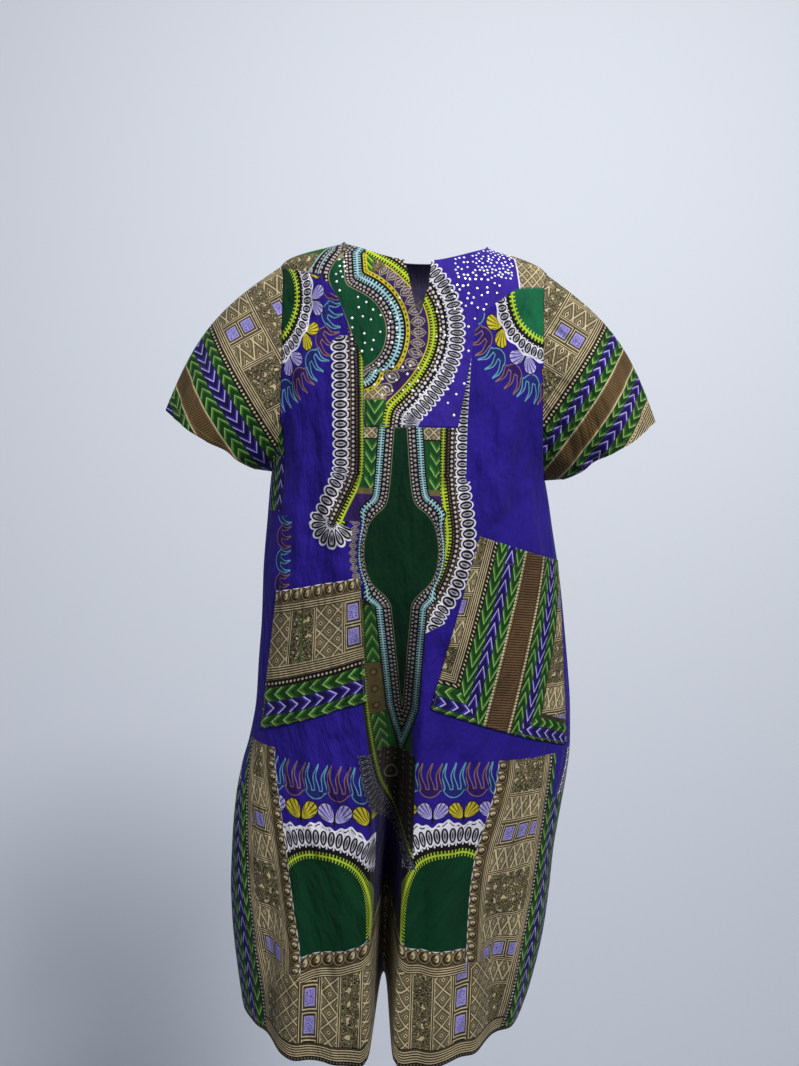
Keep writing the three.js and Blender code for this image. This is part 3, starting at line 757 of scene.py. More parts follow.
    def finish(self, rough=0.82, weave=0.85):
        """Cotton: colour a little uneven and darker in soft vertical bands as painted shade of folds, a
        plain weave and fine wrinkles in the bump.
        """
        tree = self.tree
        bsdf = tree.nodes["Principled BSDF"]
        p, t = self.fields("S T")
        # painted shade: the colour is multiplied down to 0.76 by noise stretched along the drop, for the
        # shade of soft vertical folds
        mottle_and_fold_shade = self.noise(p, t * 0.4, 34, 3)
        fold_shade_tone = tree.nodes.new("ShaderNodeMix")
        fold_shade_tone.data_type, fold_shade_tone.blend_type = "RGBA", "MULTIPLY"
        fold_shade_tone.inputs["Factor"].default_value = 1
        grey = self.ramp(mottle_and_fold_shade, [(0.32, (0.76, 0.76, 0.80)), (0.68, (1, 1, 1))], step=False)
        tree.links.new(self.colour, fold_shade_tone.inputs[6])
        tree.links.new(grey, fold_shade_tone.inputs[7])
        tree.links.new(fold_shade_tone.outputs[2], bsdf.inputs["Base Color"])
        bsdf.inputs["Roughness"].default_value = rough
        bsdf.inputs["Sheen Weight"].default_value = 0.025
        bsdf.inputs["Sheen Roughness"].default_value = 0.4
        bsdf.inputs["Specular IOR Level"].default_value = 0.10
        cloth = (p * 5.2).op("SINE") * (t * 5.2).op("SINE")
        wrinkle = self.noise(p, t * 0.4, 24, 3) * 8
        bump = tree.nodes.new("ShaderNodeBump")
        bump.inputs["Strength"].default_value = weave
        bump.inputs["Distance"].default_value = 0.0016
        tree.links.new((cloth * 0.055 + wrinkle).socket, bump.inputs["Height"])
        tree.links.new(bump.outputs["Normal"], bsdf.inputs["Normal"])
        return self.mat


# ---------------------------------------------------------------- lines the motifs follow (x, z)
STEM_RIGHT = [(-14, -276), (-17, -346), (-19, -372), (-24, -385), (-38, -396), (-48, -415), (-51, -445),
              (-47, -472), (-37, -491), (-18, -505), (-11, -517)]
STEM_LEFT = [(2, -276), (7, -330), (12, -368), (19, -382), (34, -391), (46, -408), (52, -438), (50, -465),
             (42, -486), (22, -504), (16, -516)]
BULB_LEFT = [(-96, -26), (-92, -60), (-90, -79), (-76, -86), (-54, -97), (-38, -114), (-29, -139),
             (-33, -168), (-46, -186), (-64, -197)]
BULB_RIGHT = [(-96, -26), (-118, -64), (-104, -91), (-91, -113), (-79, -142), (-72, -164), (-64, -197)]
RING = [(-46, -35), (-26, -47), (-8, -62), (24, -96), (34, -124), (36, -150), (30, -176), (15, -205),
        (-6, -231), (-22, -246), (-26, -262), (-26, -300)]
COLUMN = [(-70, -150), (-66, -200), (-63, -280), (-61, -334), (-67, -356), (-78, -378), (-90, -404)]
BEND = [(57, -250), (57, -344), (64, -384), (70, -424), (64, -458), (50, -493), (33, -516), (24, -545)]
LOW_LIME = [(-54, -480), (-53, -497), (-50, -539), (-46, -594), (-41, -650), (-32, -709), (-19, -776),
            (-1, -816), (22, -850)]
STRIP_RIGHT = [(-150, -600), (-186, -724), (-170, -790), (-156, -843), (-143, -907), (-127, -969),
               (-119, -1004), (-119, -1150)]
STRIP_LEFT = [(140, -600), (145, -704), (151, -747), (138, -802), (120, -855), (112, -909),
              (111, -988), (111, -1150)]


def rounded_line(points, times=3):
    """A polyline with its corners cut."""
    p = np.asarray(points, float)
    for _ in range(times):
        q = np.empty((2 * len(p) - 2, 2))
        q[0::2], q[1::2] = 0.75 * p[:-1] + 0.25 * p[1:], 0.25 * p[:-1] + 0.75 * p[1:]
        p = np.concatenate((p[:1], q[1:-1], p[-1:])) if len(p) > 2 else p
    return p


def beside(points, x, z):
    """Distance from a line, positive on its left as it runs, and the length run along it."""
    p = rounded_line(points)
    best = np.full(x.shape, 1e9)
    run_at, side = np.zeros_like(x), np.ones_like(x)
    run = 0
    for i, (a, b) in enumerate(zip(p[:-1], p[1:])):
        d = b - a
        size = math.hypot(*d)
        t = ((x - a[0]) * d[0] + (z - a[1]) * d[1]) / size
        t = np.clip(t, -1e9 if i == 0 else 0, 1e9 if i == len(p) - 2 else size)
        ox, oz = x - a[0] - t * d[0] / size, z - a[1] - t * d[1] / size
        far = np.hypot(ox, oz)
        closer = far < best
        best = np.where(closer, far, best)
        side = np.where(closer, np.sign(d[0] * oz - d[1] * ox), side)
        run_at = np.where(closer, run + t, run_at)
        run += size
    return best * side, run_at


def x_of(points, z):
    p = rounded_line(points)
    order = np.argsort(p[:, 1])
    return np.interp(z, p[order, 1], p[order, 0])


def between(right_line, left_line, x, z):
    """Distance outside a shape that two lines bound, negative inside, and the length along it."""
    dr, ar = beside(right_line, x, z)
    dl, al = beside(left_line, x, z)
    nearer = np.abs(dr) < np.abs(dl)
    inside = (x > x_of(right_line, z)) & (x < x_of(left_line, z))
    top = max(right_line[0][1], left_line[0][1])
    low = min(right_line[-1][1], left_line[-1][1])
    inside &= (z < top) & (z > low)
    d = np.minimum(np.abs(dr), np.abs(dl)) * np.where(inside, -1, 1)
    return d, np.where(nearer, ar, al)


BULB_FOOT = -197
MEDALLION_FOOT = -517


def print_fields(fields):
    """The motifs' own coordinates at each point of a body panel."""
    x, z = fields["P"], fields["T"]
    m, ma = between(STEM_RIGHT, STEM_LEFT, x, z)
    narrow = 1 + 1.5 * ramp((-388 - z) / 30) * ramp((z + 508) / 26)
    m = np.where(m > 0, m * narrow, m)
    tail = np.clip((-516 - z) / 148, 0, 10)
    middle, half = 2.5 + 6.5 * np.clip(tail, 0, 1), np.where(tail < 1, 13.5 * (1 - tail), (1 - tail) * 45)
    low = z < MEDALLION_FOOT
    m = np.where(low, np.abs(x - middle) - half, m)
    fields["M"], fields["MA"] = m, np.where(low, -z, ma)
    fields["C"], fields["CA"] = beside(COLUMN, x, z)
    fields["C"] = -fields["C"]
    fields["R"], fields["RA"] = beside(BEND, x, z)
    fields["Q"], fields["QA"] = beside(LOW_LIME, x, z)
    y, ya = between(BULB_RIGHT, BULB_LEFT, x, z)
    fields["Y"] = np.where(z < BULB_FOOT, np.hypot(x + 64, z - BULB_FOOT), y)
    fields["YA"] = np.where(z < BULB_FOOT, 240 + 19 * np.arctan2(x + 64, BULB_FOOT - z), ya)
    fields["L"], fields["LA"] = beside(RING, x, z)
    fields["K"] = np.where(x < 0, x_of(STRIP_RIGHT, z) - x, x - x_of(STRIP_LEFT, z))
    fields["B"] = z - np.where(x < -8, -1004 + (x + 119) * 0.26, -982 - (x - 14) * 0.09)
    return fields


# Lobes on the shoulders: centre, half sizes, way round, shifts of the wings and flames along it.
LOBES = {"right": (-205, -100, 49, 68, 1, 1.2, 50, 52),
         "left": (200, -80, 60, 70, -1, 1, 47.5, 66.3)}


def shoulder_lobe(art, where, name):
    """Part of a green oval with its lime ladder, loops, wings and flames."""
    cx, cz, ax, az, way, stretch, wing_shift, flame_shift = LOBES[name]
    x, z = art.fields("P T")
    ex, ez = (x - cx) / ax, (z - cz) / az
    q = (ex * ex + ez * ez).power(0.5)
    a = ez.op("ARCTAN2", ex * way) * 85
    d = (q - 1) * ((ax + az) / 2)
    lower = a.below(6, 1)
    art.flames(where & d.within(42, 84) & lower, d - 44, a * 1.45 + flame_shift, 34, 34)
    art.butterflies(where & d.within(15, 54) & a.below(36, 1), d - 33, a * stretch + wing_shift, 50, 0.90)
    art.loops(where & d.within(-1, 26), d - 3.5, a, 18, 12)
    knot = (d - 22.5 + (a * 0.22).op("SINE") * 1.6).abs()
    art.paint(knot.below(1.3) & where & a.below(40, 1), WHITE)
    art.paint(where & d.below(3.8), BLACK)
    # painted highlight: the left lobe's green is painted lighter than the right one's, for the light on
    # that shoulder
    art.paint(where & d.below(-1.5), GREEN if name == "right" else LIT_GREEN)
    art.ladder(where, d + 4.8, a, LIME, 1.2, 4.9, 8, 1.5)


def khaki_blocks(art, where, u, v, cell=16, tall=0.42, period=172):
    """The khaki cloth: along v come lilac squares, lattice, blots and lattice again."""
    turn = v.near(period)
    art.lattice(where, u, v * tall, cell)
    art.blots(where & turn.above(56), u, v, 15)
    art.paint(where & turn.below(18), TAN)
    art.squares(where & turn.below(18), u.wrap(24), v.wrap(period), 200, 8, 9.5)
    art.rows(where & (turn.within(14.5, 20) | turn.within(50, 56.5)), v, 2.8)


def chevron_bands(art, where, d, a, widths, kinds, slope=0.9, pitch=15):
    """Chevron stripes side by side from d = 0: g green, p violet, in capitals the other way up."""
    at = 0
    for wide, kind in zip(widths, kinds):
        inks = (LEAF_DARK, LEAF, LEAF_LIGHT) if kind in "gG" else (DEEP, PURPLE, PALE_PURPLE)
        way = -1 if kind in "gp" else 1
        art.chevrons(where & d.within(at, at + wide), d - (at + wide / 2), a * way, wide / 2,
                     pitch, slope, *inks)
        at += wide
    return at


def column_of_loops(art, where, d, a, length, pitch, lit):
    """The lime ladder, two rows of beads and the loops of one of the long columns."""
    art.loops(where & d.within(9, 40), d - 11.5, a, length, pitch)
    art.paint(where & d.within(-16, 11.5), BLACK)
    art.beads(where & d.within(0, 12), d - 3, a, 4.2, 1.1, TAN)
    art.beads(where & d.within(0, 12), d - 8, a + 2, 6.4, 1.9, BEAD)
    art.paint(where & (d - 11.6).abs().below(0.6), TAN)
    lime = where & d.within(-14, 0.5)
    art.ladder(lime & ~lit, d + 4.5, a, (0.26, 0.35, 0.025), 0.9, 2.9, 4, 0.8)
    art.ladder(lime & lit, d + 5.5, a, LIME, 1.5, 5.6, 4.6, 1)


def front_upper():
    """The body's print above the hem patterns: shoulders, columns of loops and the medallion."""
    art = Print("front_print_upper", GROUND)
    x, z = art.fields("P T")
    c, ca, r, ra, m, ma = art.fields("C CA R RA M MA")
    n = art.field("Q")
    shoulder_lobe(art, x.below(-60) & z.above(-272), "right")
    shoulder_lobe(art, x.above(60) & z.above(-250), "left")
    # chevrons and flames that reach round from the back on the wearer's right
    rim = x.below(-188) & z.within(-396, -262)
    chevron_bands(art, rim & z.above(-318), -x - 188, z, (16, 16, 30), "gPg", 1.5)
    chevron_bands(art, rim & z.below(-318), -x - 188, z, (16, 16, 30), "PgP", 1.9, 22)
    art.paint(rim & (x + 189).abs().below(1.4), BLACK)
    art.flames(x.below(-158) & z.within(-510, -402), x + 195, z + 24, 34, 30)
    # the loops, beads and lime ladder of the column on the right and the bend on the left
    flare = z.below(-350, 20)
    left = x.below(-20) & z.within(-412, -150) & (z - x * 0.8).below(-74)
    column_of_loops(art, left, c, ca, 25, 13.5, flare)
    fan = z.below(-380) & x.below(-40)
    fx, fz = x + 97, z + 407
    fr = (fx * fx + fz * fz).power(0.5)
    art.loops(fan & fr.within(2, 42) & (fz + fx * 0.35).below(2), fr - 4,
              fx.op("ARCTAN2", fz) * 26, 31, 11.5)
    right = x.above(20) & (z - x * 0.55).above(-575) & (x.below(88) | z.below(-345))
    column_of_loops(art, right, r, ra, 23, 12, flare & z.above(-505))
    # between them and the medallion: petals on violet, chevron patches beside the stem
    core = ((c.below(-7) & x.below(0)) | (r.below(-9) & x.above(0))) & z.above(-404)
    core = core | (r.below(-9) & x.above(0) & z.above(-512))
    art.paint(core, VIOLET)
    art.paint(core & x.above(0) & z.below(-385), (0.07, 0.05, 0.035))
    art.petals(x.below(0) & z.within(-508, -404) & m.above(22) & c.below(-7), m - 24, ma, 31, 9)
    patch = core & z.within(-366, -270)
    art.paint(patch, (0.11, 0.085, 0.035))
    art.lattice(patch & z.above(-291), x - 4, z, 14)
    art.chevrons(patch & z.within(-358, -292), x.abs() - 44, -z, 9.5, 17, 1.5,
                 (0.006, 0.055, 0.012), LEAF, LEAF_LIGHT)
    art.paint(patch & (z + 291).abs().below(1), BLACK)
    # beside the lower stem: chevrons, a tan stretch, chevrons, then a dark drop with rings
    drop = z.below(-512) & n.above(-6) & x.below(24)
    art.paint(drop, (0.012, 0.013, 0.006))
    leaf = drop & n.above(2.5) & m.above(21.5)
    for low, high in ((-598, -518), (-752, -672)):
        art.chevrons(leaf & z.within(low, high), n - 12.5, z, 9.5, 17, 1.7, LEAF_DARK,
                     (0.030, 0.085, 0.012), (0.105, 0.19, 0.05))
    art.paint(leaf & z.within(-671, -599), (0.055, 0.042, 0.016))
    art.beads(leaf & z.within(-668, -602), n - 12, z + 12, 24, 6, OLIVE)
    art.beads(leaf & z.within(-668, -602), n - 12, z + 12, 24, 2.6, TAN)
    art.ladder(drop & n.below(3), n, z, DULL_LIME, 0.8, 2.4, 4, 0.7)
    # the medallion itself
    art.paint(m.below(23) & m.above(-2), BLACK)
    art.ladder(m.below(23), m - 17, ma, SKY, 0.9, 4, 3.6, 0.75)
    art.beads(m.below(13), m - 4, ma, 5.2, 1.4, BEAD)
    art.beads(m.below(13), m - 8.8, ma + 2.4, 6.6, 2, (0.29, 0.25, 0.24))
    art.paint(m.below(1.2), (0.14, 0.15, 0.08))
    art.paint(m.below(0.2), (0.0008, 0.019, 0.007))
    # painted shade: the lower medallion is darkened two thirds towards near-black green, for the shade
    # where the cloth turns into the deep fold
    art.paint((m.below(24) & z.below(-565, 110)) * 0.66, (0.001, 0.006, 0.004))
    ornament_in_fold(art)
    return art.finish()


def ornament_in_fold(art):
    """The dark drop with rings that hangs below the medallion's tip, and the loops outside it, dimmed by
    painted shade of the deep fold.
    """
    x, z, n, na = art.fields("P T Q QA")
    deep = x.within(-60, 34) & z.below(-728) & z.above(-880)
    # painted shade: the loops in the fold are drawn in a dimmed white and then darkened by a 0.6 overlay
    art.loops(deep & n.within(-26, -1), -n - 3, na, 18, 8.5, SHADED_WHITE)
    art.paint((deep & n.within(-23, -1, 4)) * 0.6, (0.004, 0.003, 0.012))
    drop = deep & n.above(-3) & x.below(30)
    art.paint(drop, (0.010, 0.009, 0.006))
    rx, rz = x + 4, z + 768
    ring = (rx * rx + rz * rz).power(0.5)
    # painted shade: the rings and beads are painted in dimmed tan and bead colours, for the fold's shade
    art.paint(drop & (ring.wrap(9).abs().below(1.1)) & ring.below(17), (0.085, 0.070, 0.050))
    art.beads(drop & ring.above(19), (x - 2).wrap(11), z, 9, 1.7, (0.075, 0.060, 0.045))
    art.ladder(drop, n, na, DULL_LIME, 0.8, 2.4, 4, 0.7)


# The two green lobes over the hem: middle, half sizes, shifts of the wings and the flames.
HEM_LOBES = {"right": (-95, -985, 72, 118, 130, 9, 50),
             "left": (85, -978, 70, 122, -12, 16, 44)}


def hem_lobe(art, inner, name, x, z, b):
    cx, cz, ax, az, wing_shift, flame_shift, wing_pitch = HEM_LOBES[name]
    crown = cz + az
    here = inner & (x.below(-14) if name == "right" else x.above(2))
    ex, ez = ((x - cx) / ax).abs(), ((z - cz) / az).high(0)
    wx, wz = ex.power(3), ez.power(3)
    total = wx + wz + 1e-6
    d = (total.power(1 / 3) - 1) * ((wx * ax + wz * az + 1e-6 * ax) / total)
    a = ex.op("ARCTAN2", ez) * ((wx * az + wz * ax) / total) + (-z + cz).high(0)
    art.flames(here & z.within(crown + 70, crown + 130), z - (crown + 76), x + flame_shift, 33.5, 46)
    art.butterflies(here & z.within(crown + 30, crown + 84), z - (crown + 55), x + wing_shift, wing_pitch,
                    wing_pitch / 45)
    wave = ((x + wing_shift) * (6.2832 / wing_pitch)).op("COSINE") * -3.6 + (x * 0.42).op("SINE") * 1.6
    cloud = here & b.above(60) & d.above(30)
    art.paint(cloud & (d - wave).below(39.5), WHITE)
    art.paint(cloud & (d - wave - 35.6).abs().below(0.9) & x.near(10.5).below(3.6), BLACK)
    art.loops(here & d.within(3, 36) & b.above(0), d - 7.5, a, 26, 9.4)
    art.paint(d.below(8) & here & b.above(0), BLACK)
    art.paint(d.below(2.5) & here & b.above(0), GREEN)
    art.ladder(here & b.above(1), d + 2, a, LIME, 1.2, 5.2, 5, 0.8)


def front_lower():
    """The body's print round the hem: lobes, khaki bands and strips, and the stripes at the sides."""
    art = Print("front_print_lower", GROUND)
    x, z, k, b = art.fields("P T K B")
    inner = k.below(0)
    for name in HEM_LOBES:
        hem_lobe(art, inner, name, x, z, b)
    # the deep fold between the lobes: the blue ground painted dark blue as painted shade, then khaki
    # under a painted shade
    art.paint(x.within(-22, 16) & z.below(-800), DEEP)
    fold = x.within(-22, 16) & z.below(-958)
    art.blots(fold, art.field("S"), z, 15)
    # painted shade: the scalloped line in the fold is drawn in a dimmed white
    art.paint(fold & (z + 959).abs().below(1.5), SHADED_WHITE)
    # painted shade: the khaki in the fold is darkened 85 % towards black
    art.paint(fold * 0.85, (0.006, 0.005, 0.008))
    ornament_in_fold(art)
    # hem band under the lobes
    hem = inner & b.below(0)
    belt = b.below(-20) & z.below(-1004) & x.abs().below(168)
    far = x.abs()
    art.lattice(belt, far - 78, z, 25)
    art.blots(belt & far.within(34, 63), x, z, 17)
    art.squares(belt & far.within(94, 119), far - 106, z + 1057, 37, 7.5, 12.5)
    for at in (34, 64, 92, 120):
        art.rows(belt & (far - at).abs().below(2.4) & b.below(-30), x, 3)
    art.discs(hem & b.above(-21), -b, x, 20, 16.5)
    art.rows(hem & b.within(-34, -21), b, 3.2)
    # khaki strips down the sides, chevrons outside them
    strip = k.above(0) & z.below(-690)
    khaki_blocks(art, strip & ~belt, k - 44, z + 838, 15.5)
    art.discs(strip & k.below(19) & ~belt, k, z, 16, 16.5)
    art.rows(strip & k.within(18, 27) & ~belt, k, 3)
    edge = x.abs() - 205 - (z + 1130) * 0.085
    art.rows(strip & edge.within(-10, 0), edge, 3)
    art.paint(strip & edge.above(0), BLACK)
    art.beads(strip & edge.within(0, 6), edge - 3, z, 5.4, 1.5, BEAD)
    chevron_bands(art, strip & edge.above(6), edge - 6, z, (15, 16, 15, 16, 40), "gPgPg", 2.2, 22)
    # blue with loops where the sides turn back
    blue = edge.above(14) & z.above(-800)
    art.paint(blue, GROUND)
    side = edge - 46 + (z + 735) * (z + 735) * 0.004
    art.loops(blue & side.above(0), side, z, 22, 11)
    # rows along the hem itself, with a dark dotted edge
    end = z + 1143
    art.rows(end.below(24) & edge.below(0), end, 3.4)
    art.paint((end - 24).abs().below(0.9) & edge.below(0), BLACK)
    art.paint(end.below(6), BLACK)
    art.beads(end.below(6), end - 3, x, 4.6, 1.3, (0.16, 0.12, 0.07))
    return art.finish()


def yoke_print():
    """The yoke's print: the big ring, the half bulb and the khaki shoulders."""
    art = Print("yoke_print", YOKE_GROUND)
    x, z = art.fields("P T")
    y, ya, l, la = art.fields("Y YA L LA")
    # the big ring: loops outside it, beads, lime ladder; petals inside
    art.loops(l.within(16, 48), l - 17.5, la, 25, 7.4)
    art.paint(l.below(18), BLACK)
    art.beads(l.within(5, 18), l - 9, la, 5, 1.4, CREAM)
    art.beads(l.within(5, 18), l - 13.6, la + 2.4, 6.2, 2, (0.50, 0.46, 0.45))
    inside = l.below(-5.5)
    art.paint(inside, VIOLET)
    art.petals(inside & y.above(32), y - 33, ya, 23, 8.6)
    art.ladder(l.abs().below(7), l, la, LIME, 1.4, 4.6, 4.2, 0.95)
    art.paint((l + 6.5).abs().below(1), YELLOW)
    # patches under and over the petals
    low = inside & z.below(-220) & x.below(-27)
    art.paint(low, (0.15, 0.115, 0.055))
    art.lattice(low & z.above(-236), x, z, 13)
    art.chevrons(low & z.below(-238) & x.above(-56), x + 42, -z, 12, 16, 1.5, (0.006, 0.055, 0.012),
                 LEAF, LEAF_LIGHT)
    high = inside & x.within(-74, -36) & (z - x * 0.35).above(-44)
    art.paint(high, (0.02, 0.10, 0.01))
    art.blots(high, x, z, 11)
    art.chevrons(high & x.below(-52), x + 62, z, 10, 11, 1.2, (0.010, 0.085, 0.008),
                 (0.12, 0.24, 0.02), LIME)
    # the half bulb with its beads, light ladder and yellow line
    ring = (x.above(-82) | z.above(-80)) & x.above(-96)
    foot = z.above(-226)
    art.paint(y.below(33) & inside & foot & ring, YELLOW)
    art.beads(y.within(26, 34) & inside & foot & ring, y - 30, ya, 5, 1.2, BLACK)
    art.paint(y.below(27.5) & foot & (ring | y.below(9)), BLACK)
    art.ladder(y.within(8, 27) & foot & ring, y - 19, ya, SKY, 1.2, 5.4, 3.8, 0.85)
    art.beads(y.below(13) & foot, y - 4.2, ya, 5, 1.5, BEAD)
    art.beads(y.below(13) & foot & ring, y - 9.2, ya + 2.4, 6.2, 2, (0.36, 0.30, 0.29))
    art.paint(y.below(1.2) & foot, (0.22, 0.20, 0.12))
    art.paint(y.below(0), YOKE_GREEN)
    # the column of loops, which runs on down the front
    c, ca = art.fields("C CA")
    column_of_loops(art, c.above(-7) & z.below(-148) & (x + z * 0.42).below(-138), c, ca, 25, 13.5,
                    z.below(-600))
    # khaki and lime chevrons on the right shoulder
    band = x - z * 0.55
    art.blots(band.below(-106) & y.above(9) & x.below(-96), x, z, 15)
    beside_bulb = y.above(6) & x.below(-96) & z.above(-62)
    art.paint(band.above(-114) & beside_bulb, BLACK)
    art.beads(band.above(-112) & beside_bulb, y.wrap(7), ya, 5, 1.5, BEAD)
    art.paint((band + 113).abs().below(1.1) & beside_bulb, SKY)
    art.paint((y - 17).abs().below(0.9) & band.above(-112) & beside_bulb, SKY)
    top = z.above(-27) & band.below(-114)
    art.chevrons(top, z + 8, x, 10, 11, 1.1, (0.010, 0.080, 0.008), (0.10, 0.22, 0.02),
                 (0.30, 0.44, 0.03))
    # khaki beyond a white line on the left shoulder
    line = (z * -1.577 + 112.6).low(z * -0.11 + 149.2)
    far = x - line
    art.lattice(far.above(0), x, z, 17)
    art.blots(far.above(12) & z.above(-30), x, z, 14)
    art.paint(far.abs().below(1.2), WHITE)
    return art.finish()


def pocket_right_print():
    art = Print("pocket_right_print", OLIVE)
    u, v = art.fields("U V")
    w, h = u * 140, v * 176
    art.lattice(h.above(0), w - 92, h - 64, 26)
    art.blots(w.within(34, 70), w - 42, h, 17)
    art.rows(w.within(29, 35) | w.within(68, 73) | w.within(110, 116), w, 3)
    art.paint((w - 51).abs().below(0.8), LEAF)
    art.squares(w.above(115), w - 127, h - 45, 34, 8.2, 11.5)
    art.rows(h.within(19, 29) | h.within(98, 115), h, 3.3)
    art.discs(h.below(19), h, w, 18, 18)
    art.paint(h.within(115, 125), BLACK)
    art.beads(h.within(115, 125), h - 120, w, 5.6, 1.5, CREAM)
    chevron_bands(art, h.above(125), h - 125, w, (18, 18, 17), "gPg", 1.2, 17)
    return art.finish()


def pocket_left_print():
    art = Print("pocket_left_print", OLIVE)
    x, z = art.fields("P T")
    w = x - (z + 560) * 0.24
    floor = z + 668 + (x - 48) * 0.30
    # left of the ribbed band: khaki corner, dotted line, three chevron stripes that turn the corner
    band = w - 156
    corner = (w - 100).high(-floor + 52)
    khaki_blocks(art, corner.below(0), w, z, 15)
    art.rows(corner.within(-14, -1), corner, 3)
    art.paint(corner.above(-1), BLACK)
    art.beads(corner.within(-1, 5), corner - 2, z + x, 7.2, 1.6, CREAM)
    under = (-floor + 52).above(w - 100)
    chevron_bands(art, corner.above(5) & ~under, corner - 5, z, (17, 15, 16), "gPg", 2.5, 20)
    chevron_bands(art, corner.above(5) & under, corner - 5, x, (17, 15, 16), "gPg", 1.1, 17)
    # right of it, the same stripes in a lower corner
    far = w - 192
    nook = far.low(floor + 6)
    beyond = far.above(0)
    art.paint(beyond, OLIVE)
    khaki_blocks(art, beyond & nook.above(52), w, z, 15)
    along = (floor + 6).below(far)
    chevron_bands(art, beyond & ~along, nook - 6, z, (15, 15, 14), "GpG", 2.5, 20)
    chevron_bands(art, beyond & along, nook - 2, x, (15, 15, 14), "GpG", 1.1, 16)
    # the ribbed band between cream beads
    art.paint(band.within(-4, 40), BLACK)
    art.paint(band.within(3, 33), (0.12, 0.068, 0.030))
    art.paint(band.within(3, 33) & (z + x * 0.1).near(3.6).below(0.75), (0.016, 0.010, 0.006))
    art.paint((band - 1).abs().below(1) | (band - 35).abs().below(1), TAN)
    art.beads(band.within(-5, 1), band + 2, z, 4.6, 1.9, CREAM)
    art.beads(band.within(34, 42), band - 38, z, 4.6, 1.9, CREAM)
    return art.finish()


STRIPES = {  # widths of the sleeve's stripes: three chevrons, ribbed band, chevrons to the hem
    "sleeve_right": (15, 19, 19, 25, 19, 24, 20),
    "sleeve_left": (10, 13, 12, 23, 11, 15, 15)}


def sleeve_print(name):
    art = Print(name + "_print", OLIVE)
    w, a = art.fields("W A")
    wide = STRIPES[name]
    khaki_blocks(art, w.below(1), w + 24, a, 21)
    art.blots(w.within(-92, -70), w, a, 14)
    art.rows(w.within(-70, -63) | w.within(-14, -1), w, 3.2)
    art.paint(w.above(-1), BLACK)
    art.beads(w.within(-1, 6), w - 2.4, a, 5.6, 1.6, CREAM)
    kinds = "gPg" if name == "sleeve_right" else "GpG"
    at = 6 + chevron_bands(art, w.above(6), w - 6, a, wide[:3], kinds, 1.5, 16)
    art.paint(w.above(at), CREAM)
    art.paint(w.above(at + 2), (0.12, 0.075, 0.030))
    art.paint(w.within(at + 4, at + wide[3]) & a.near(3.4).below(0.7), (0.035, 0.020, 0.008))
    at += wide[3] + 3
    art.paint(w.above(at), CREAM)
    at += 2
    at += chevron_bands(art, w.above(at), w - at, a, wide[4:], "GpG", 1.5, 16)
    art.rows(w.above(at), w, 3.2)
    art.beads(w.within(at, at + 7), w - (at + 3), a, 5.6, 1.6, CREAM)
    return art.finish()


def inside_print():
    """The back of the cloth: the same cotton, where the print shows through pale."""
    art = Print("inside_cloth", (0.075, 0.062, 0.14))
    s, t = art.fields("S T")
    art.lattice(art.noise(s, t, 90).above(0.5, 0.02), s, t, 24)
    faded = art.tree.nodes.new("ShaderNodeMix")
    faded.data_type = "RGBA"
    faded.inputs["Factor"].default_value = 0.72
    art.tree.links.new(art.colour, faded.inputs[6])
    faded.inputs[7].default_value = (0.055, 0.047, 0.10, 1)
    art.colour = faded.outputs[2]
    return art.finish(0.88, 0.5)


# ---------------------------------------------------------------- the dress
inside = inside_print()
FACING = {-1: np.array([0.0, -1, 0]), 1: np.array([0.0, 1, 0])}


LOWER_PRINT = -735  # height under which the body panels carry the second print


def all_first(area):
    return np.zeros(len(area["T"]), int)


def above_or_below(area):
    return (area["T"] < LOWER_PRINT).astype(int)


def make(name, node, panel, outward, prints, pick=all_first, loop=False):
    pts, fields = panel
    obj = shell(name, pts, WALL, pts - pts.mean(1, keepdims=True) if outward is None else outward,
                fields, prints + [inside], pick, loop)
    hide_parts(node)
    return obj


body_prints = [front_upper(), front_lower()]
front_grid, back_grid, yoke_grid = front_panel(), back_panel(), yoke_panel()
for grid in (front_grid, back_grid, yoke_grid):
    print_fields(grid[1])
front = make("dress_front", "front", front_grid, FACING[-1], body_prints, above_or_below)
back = make("dress_back", "back", back_grid, FACING[1], body_prints, above_or_below)
yoke = make("dress_yoke", "yoke_front", yoke_grid, FACING[-1], [yoke_print()])
sleeves = {n: make("dress_" + n, n, sleeve_panel(n), None, [sleeve_print(n)], loop=True)
           for n in SLEEVES}
pockets = {n: make("dress_" + n, n, pocket_panel(n), FACING[-1], [art()])
           for n, art in (("pocket_right", pocket_right_print), ("pocket_left", pocket_left_print))}


# ---------------------------------------------------------------- stitching and rhinestones
def plain(name, colour, rough, metal=0.0, speck=0.0):
    """A small part's finish: one colour, a little uneven, with a fine grain."""
    mat = bpy.data.materials.new(name)
    mat.use_nodes = True
    nodes, links = mat.node_tree.nodes, mat.node_tree.links
    bsdf = nodes["Principled BSDF"]
    noise = nodes.new("ShaderNodeTexNoise")
    noise.inputs["Scale"].default_value = 900.0
    band = nodes.new("ShaderNodeValToRGB")
    dark = tuple(c * (1 - speck) for c in colour)
    band.color_ramp.elements[0].color, band.color_ramp.elements[1].color = (*dark, 1), (*colour, 1)
    links.new(noise.outputs["Fac"], band.inputs["Fac"])
    links.new(band.outputs["Color"], bsdf.inputs["Base Color"])
    bump = nodes.new("ShaderNodeBump")
    bump.inputs["Distance"].default_value = 0.0001
    bump.inputs["Strength"].default_value = 0.3
    links.new(noise.outputs["Fac"], bump.inputs["Height"])
    links.new(bump.outputs["Normal"], bsdf.inputs["Normal"])
    bsdf.inputs["Roughness"].default_value = rough
    bsdf.inputs["Metallic"].default_value = metal
    return mat


